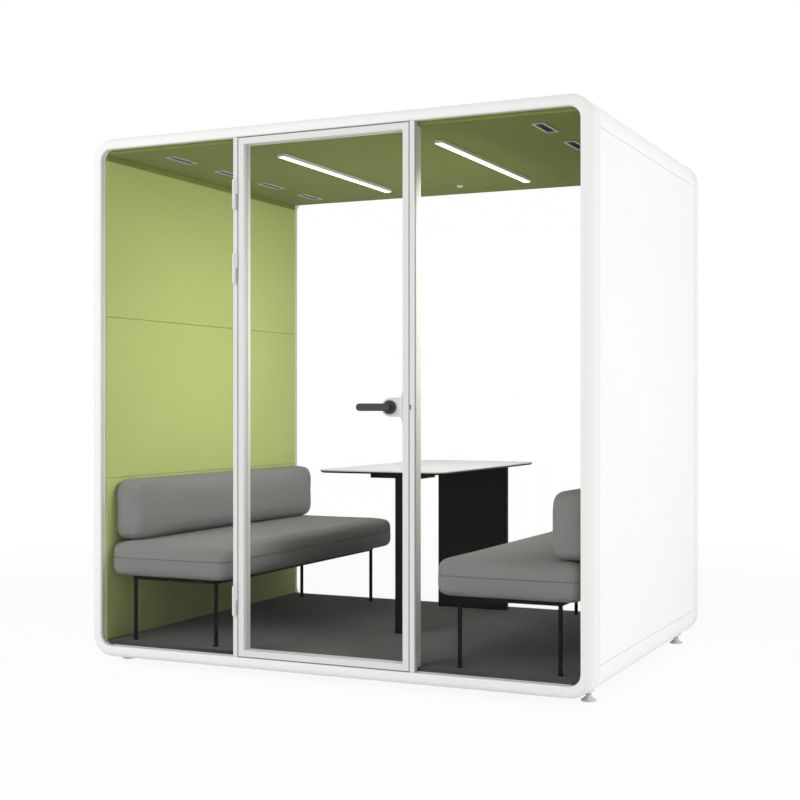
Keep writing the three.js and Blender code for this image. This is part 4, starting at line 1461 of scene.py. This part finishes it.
@dataclass
class Lamp:
    """One soft area lamp."""

    name: str
    place: Point
    aim: Point
    width: float
    height: float
    watts: float
    spread: float = 180.0

    def build(self) -> None:
        """Hang the lamp."""
        light = bpy.data.lights.new(self.name, "AREA")
        light.shape = "RECTANGLE"
        light.size, light.size_y = self.width, self.height
        light.energy = self.watts
        light.spread = math.radians(self.spread)
        lamp = bpy.data.objects.new(self.name, light)
        lamp.location = self.place
        lamp.rotation_euler = (Vector(self.aim) - Vector(self.place)).to_track_quat("-Z", "Y").to_euler()
        lamp.visible_camera = False
        lamp.visible_glossy = False
        bpy.context.scene.collection.objects.link(lamp)


LAMPS = (
    Lamp("key", place=(-2.2, -6.5, 3.4), aim=(0.0, 0.0, 1.0), width=3.5, height=3.5, watts=205.0),
    Lamp("side", place=(6.0, -0.5, 1.9), aim=(0.5, 0.0, 1.1), width=3.0, height=3.0, watts=112.0),
    Lamp("ceiling", place=(0.55, 0.0, 2.0), aim=(-0.8, 0.0, 0.7), width=1.5, height=0.3, watts=9.0,
         spread=125.0),
    Lamp("wall", place=(0.95, -0.1, 1.5), aim=(-1.0, -0.1, 1.1), width=1.4, height=0.5, watts=8.0,
         spread=150.0),
)


@dataclass
class Studio:
    """Pale floor, white surroundings, soft lamps and the camera."""

    eye: Point = (2.631, -5.772, 1.132)
    yaw: float = 24.87
    lens: float = 61.83
    shift_y: float = 0.0071
    sky: float = 0.56
    floor_colour: Colour = (0.9, 0.9, 0.9)
    floor_reach: float = 12.0
    floor_white: float = 0.92
    floor_fade: tuple[float, float] = (4.0, 40.0)

    def camera(self) -> None:
        """Set the camera at the photograph's place."""
        camera = bpy.data.cameras.new("camera")
        camera.sensor_fit = "HORIZONTAL"
        camera.sensor_width = 36.0
        camera.lens = self.lens
        camera.shift_y = self.shift_y
        eye = bpy.data.objects.new("camera", camera)
        eye.location = self.eye
        eye.rotation_euler = (math.pi / 2, 0.0, math.radians(self.yaw))
        bpy.context.scene.collection.objects.link(eye)
        bpy.context.scene.camera = eye

    def world(self) -> None:
        """White to the eye, softer as a source of light."""
        world = bpy.data.worlds.new("studio")
        graph = Graph("studio", world)
        strength = graph.seen() * (1.0 - self.sky) + self.sky
        sky = graph.node("ShaderNodeBackground", None, {"Color": (1.0, 1.0, 1.0, 1.0), "Strength": strength})
        graph.node("ShaderNodeOutputWorld", None, {"Surface": Wire(graph, sky.outputs[0])})
        bpy.context.scene.world = world

    def floor(self) -> None:
        """Lay a pale floor that fades into the white surroundings."""
        solid = Solid()
        bmesh.ops.create_grid(solid.bm, x_segments=1, y_segments=1, size=self.floor_reach)
        floor = bpy.data.objects.new("floor", solid.mesh("floor"))
        bpy.context.scene.collection.objects.link(floor)
        graph = Graph("pale_floor")
        place = graph.place()
        across, along, _ = graph.axes(place)
        far = (across * across + along * along).ease(*self.floor_fade)
        matte = graph.node("ShaderNodeBsdfDiffuse", None, {"Color": (*self.floor_colour, 1.0)})
        white = graph.node("ShaderNodeEmission", None, {"Strength": 1.0})
        paper = graph.node("ShaderNodeMixShader", None, {
            0: graph.seen() * self.floor_white,
            1: Wire(graph, matte.outputs[0]), 2: Wire(graph, white.outputs[0])})
        clear = graph.node("ShaderNodeBsdfTransparent")
        floor.data.materials.append(graph.surface(graph.node("ShaderNodeMixShader", None, {
            0: far, 1: Wire(graph, paper.outputs[0]), 2: Wire(graph, clear.outputs[0])})))

    def build(self) -> None:
        """Set up camera, surroundings, floor and lamps."""
        self.camera()
        self.world()
        self.floor()
        for lamp in LAMPS:
            lamp.build()
        bpy.context.scene.view_settings.view_transform = "Standard"


def main() -> None:
    """Build the pod's pieces in order."""
    logging.basicConfig(level=logging.INFO, format="%(name)s: %(message)s")
    Studio().build()
    front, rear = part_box("front_ring"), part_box("rear_ring")
    middle_y = (front[0].y + rear[1].y) / 2
    RingFrame("front_ring", False).build()
    RingFrame("rear_ring", True).build()
    Shell().build()
    Lining().build()
    Glazing().build()
    Door().build()
    Benches().build(middle_y)
    Table().build()
    Services().build()


if __name__ == "__main__":
    main()
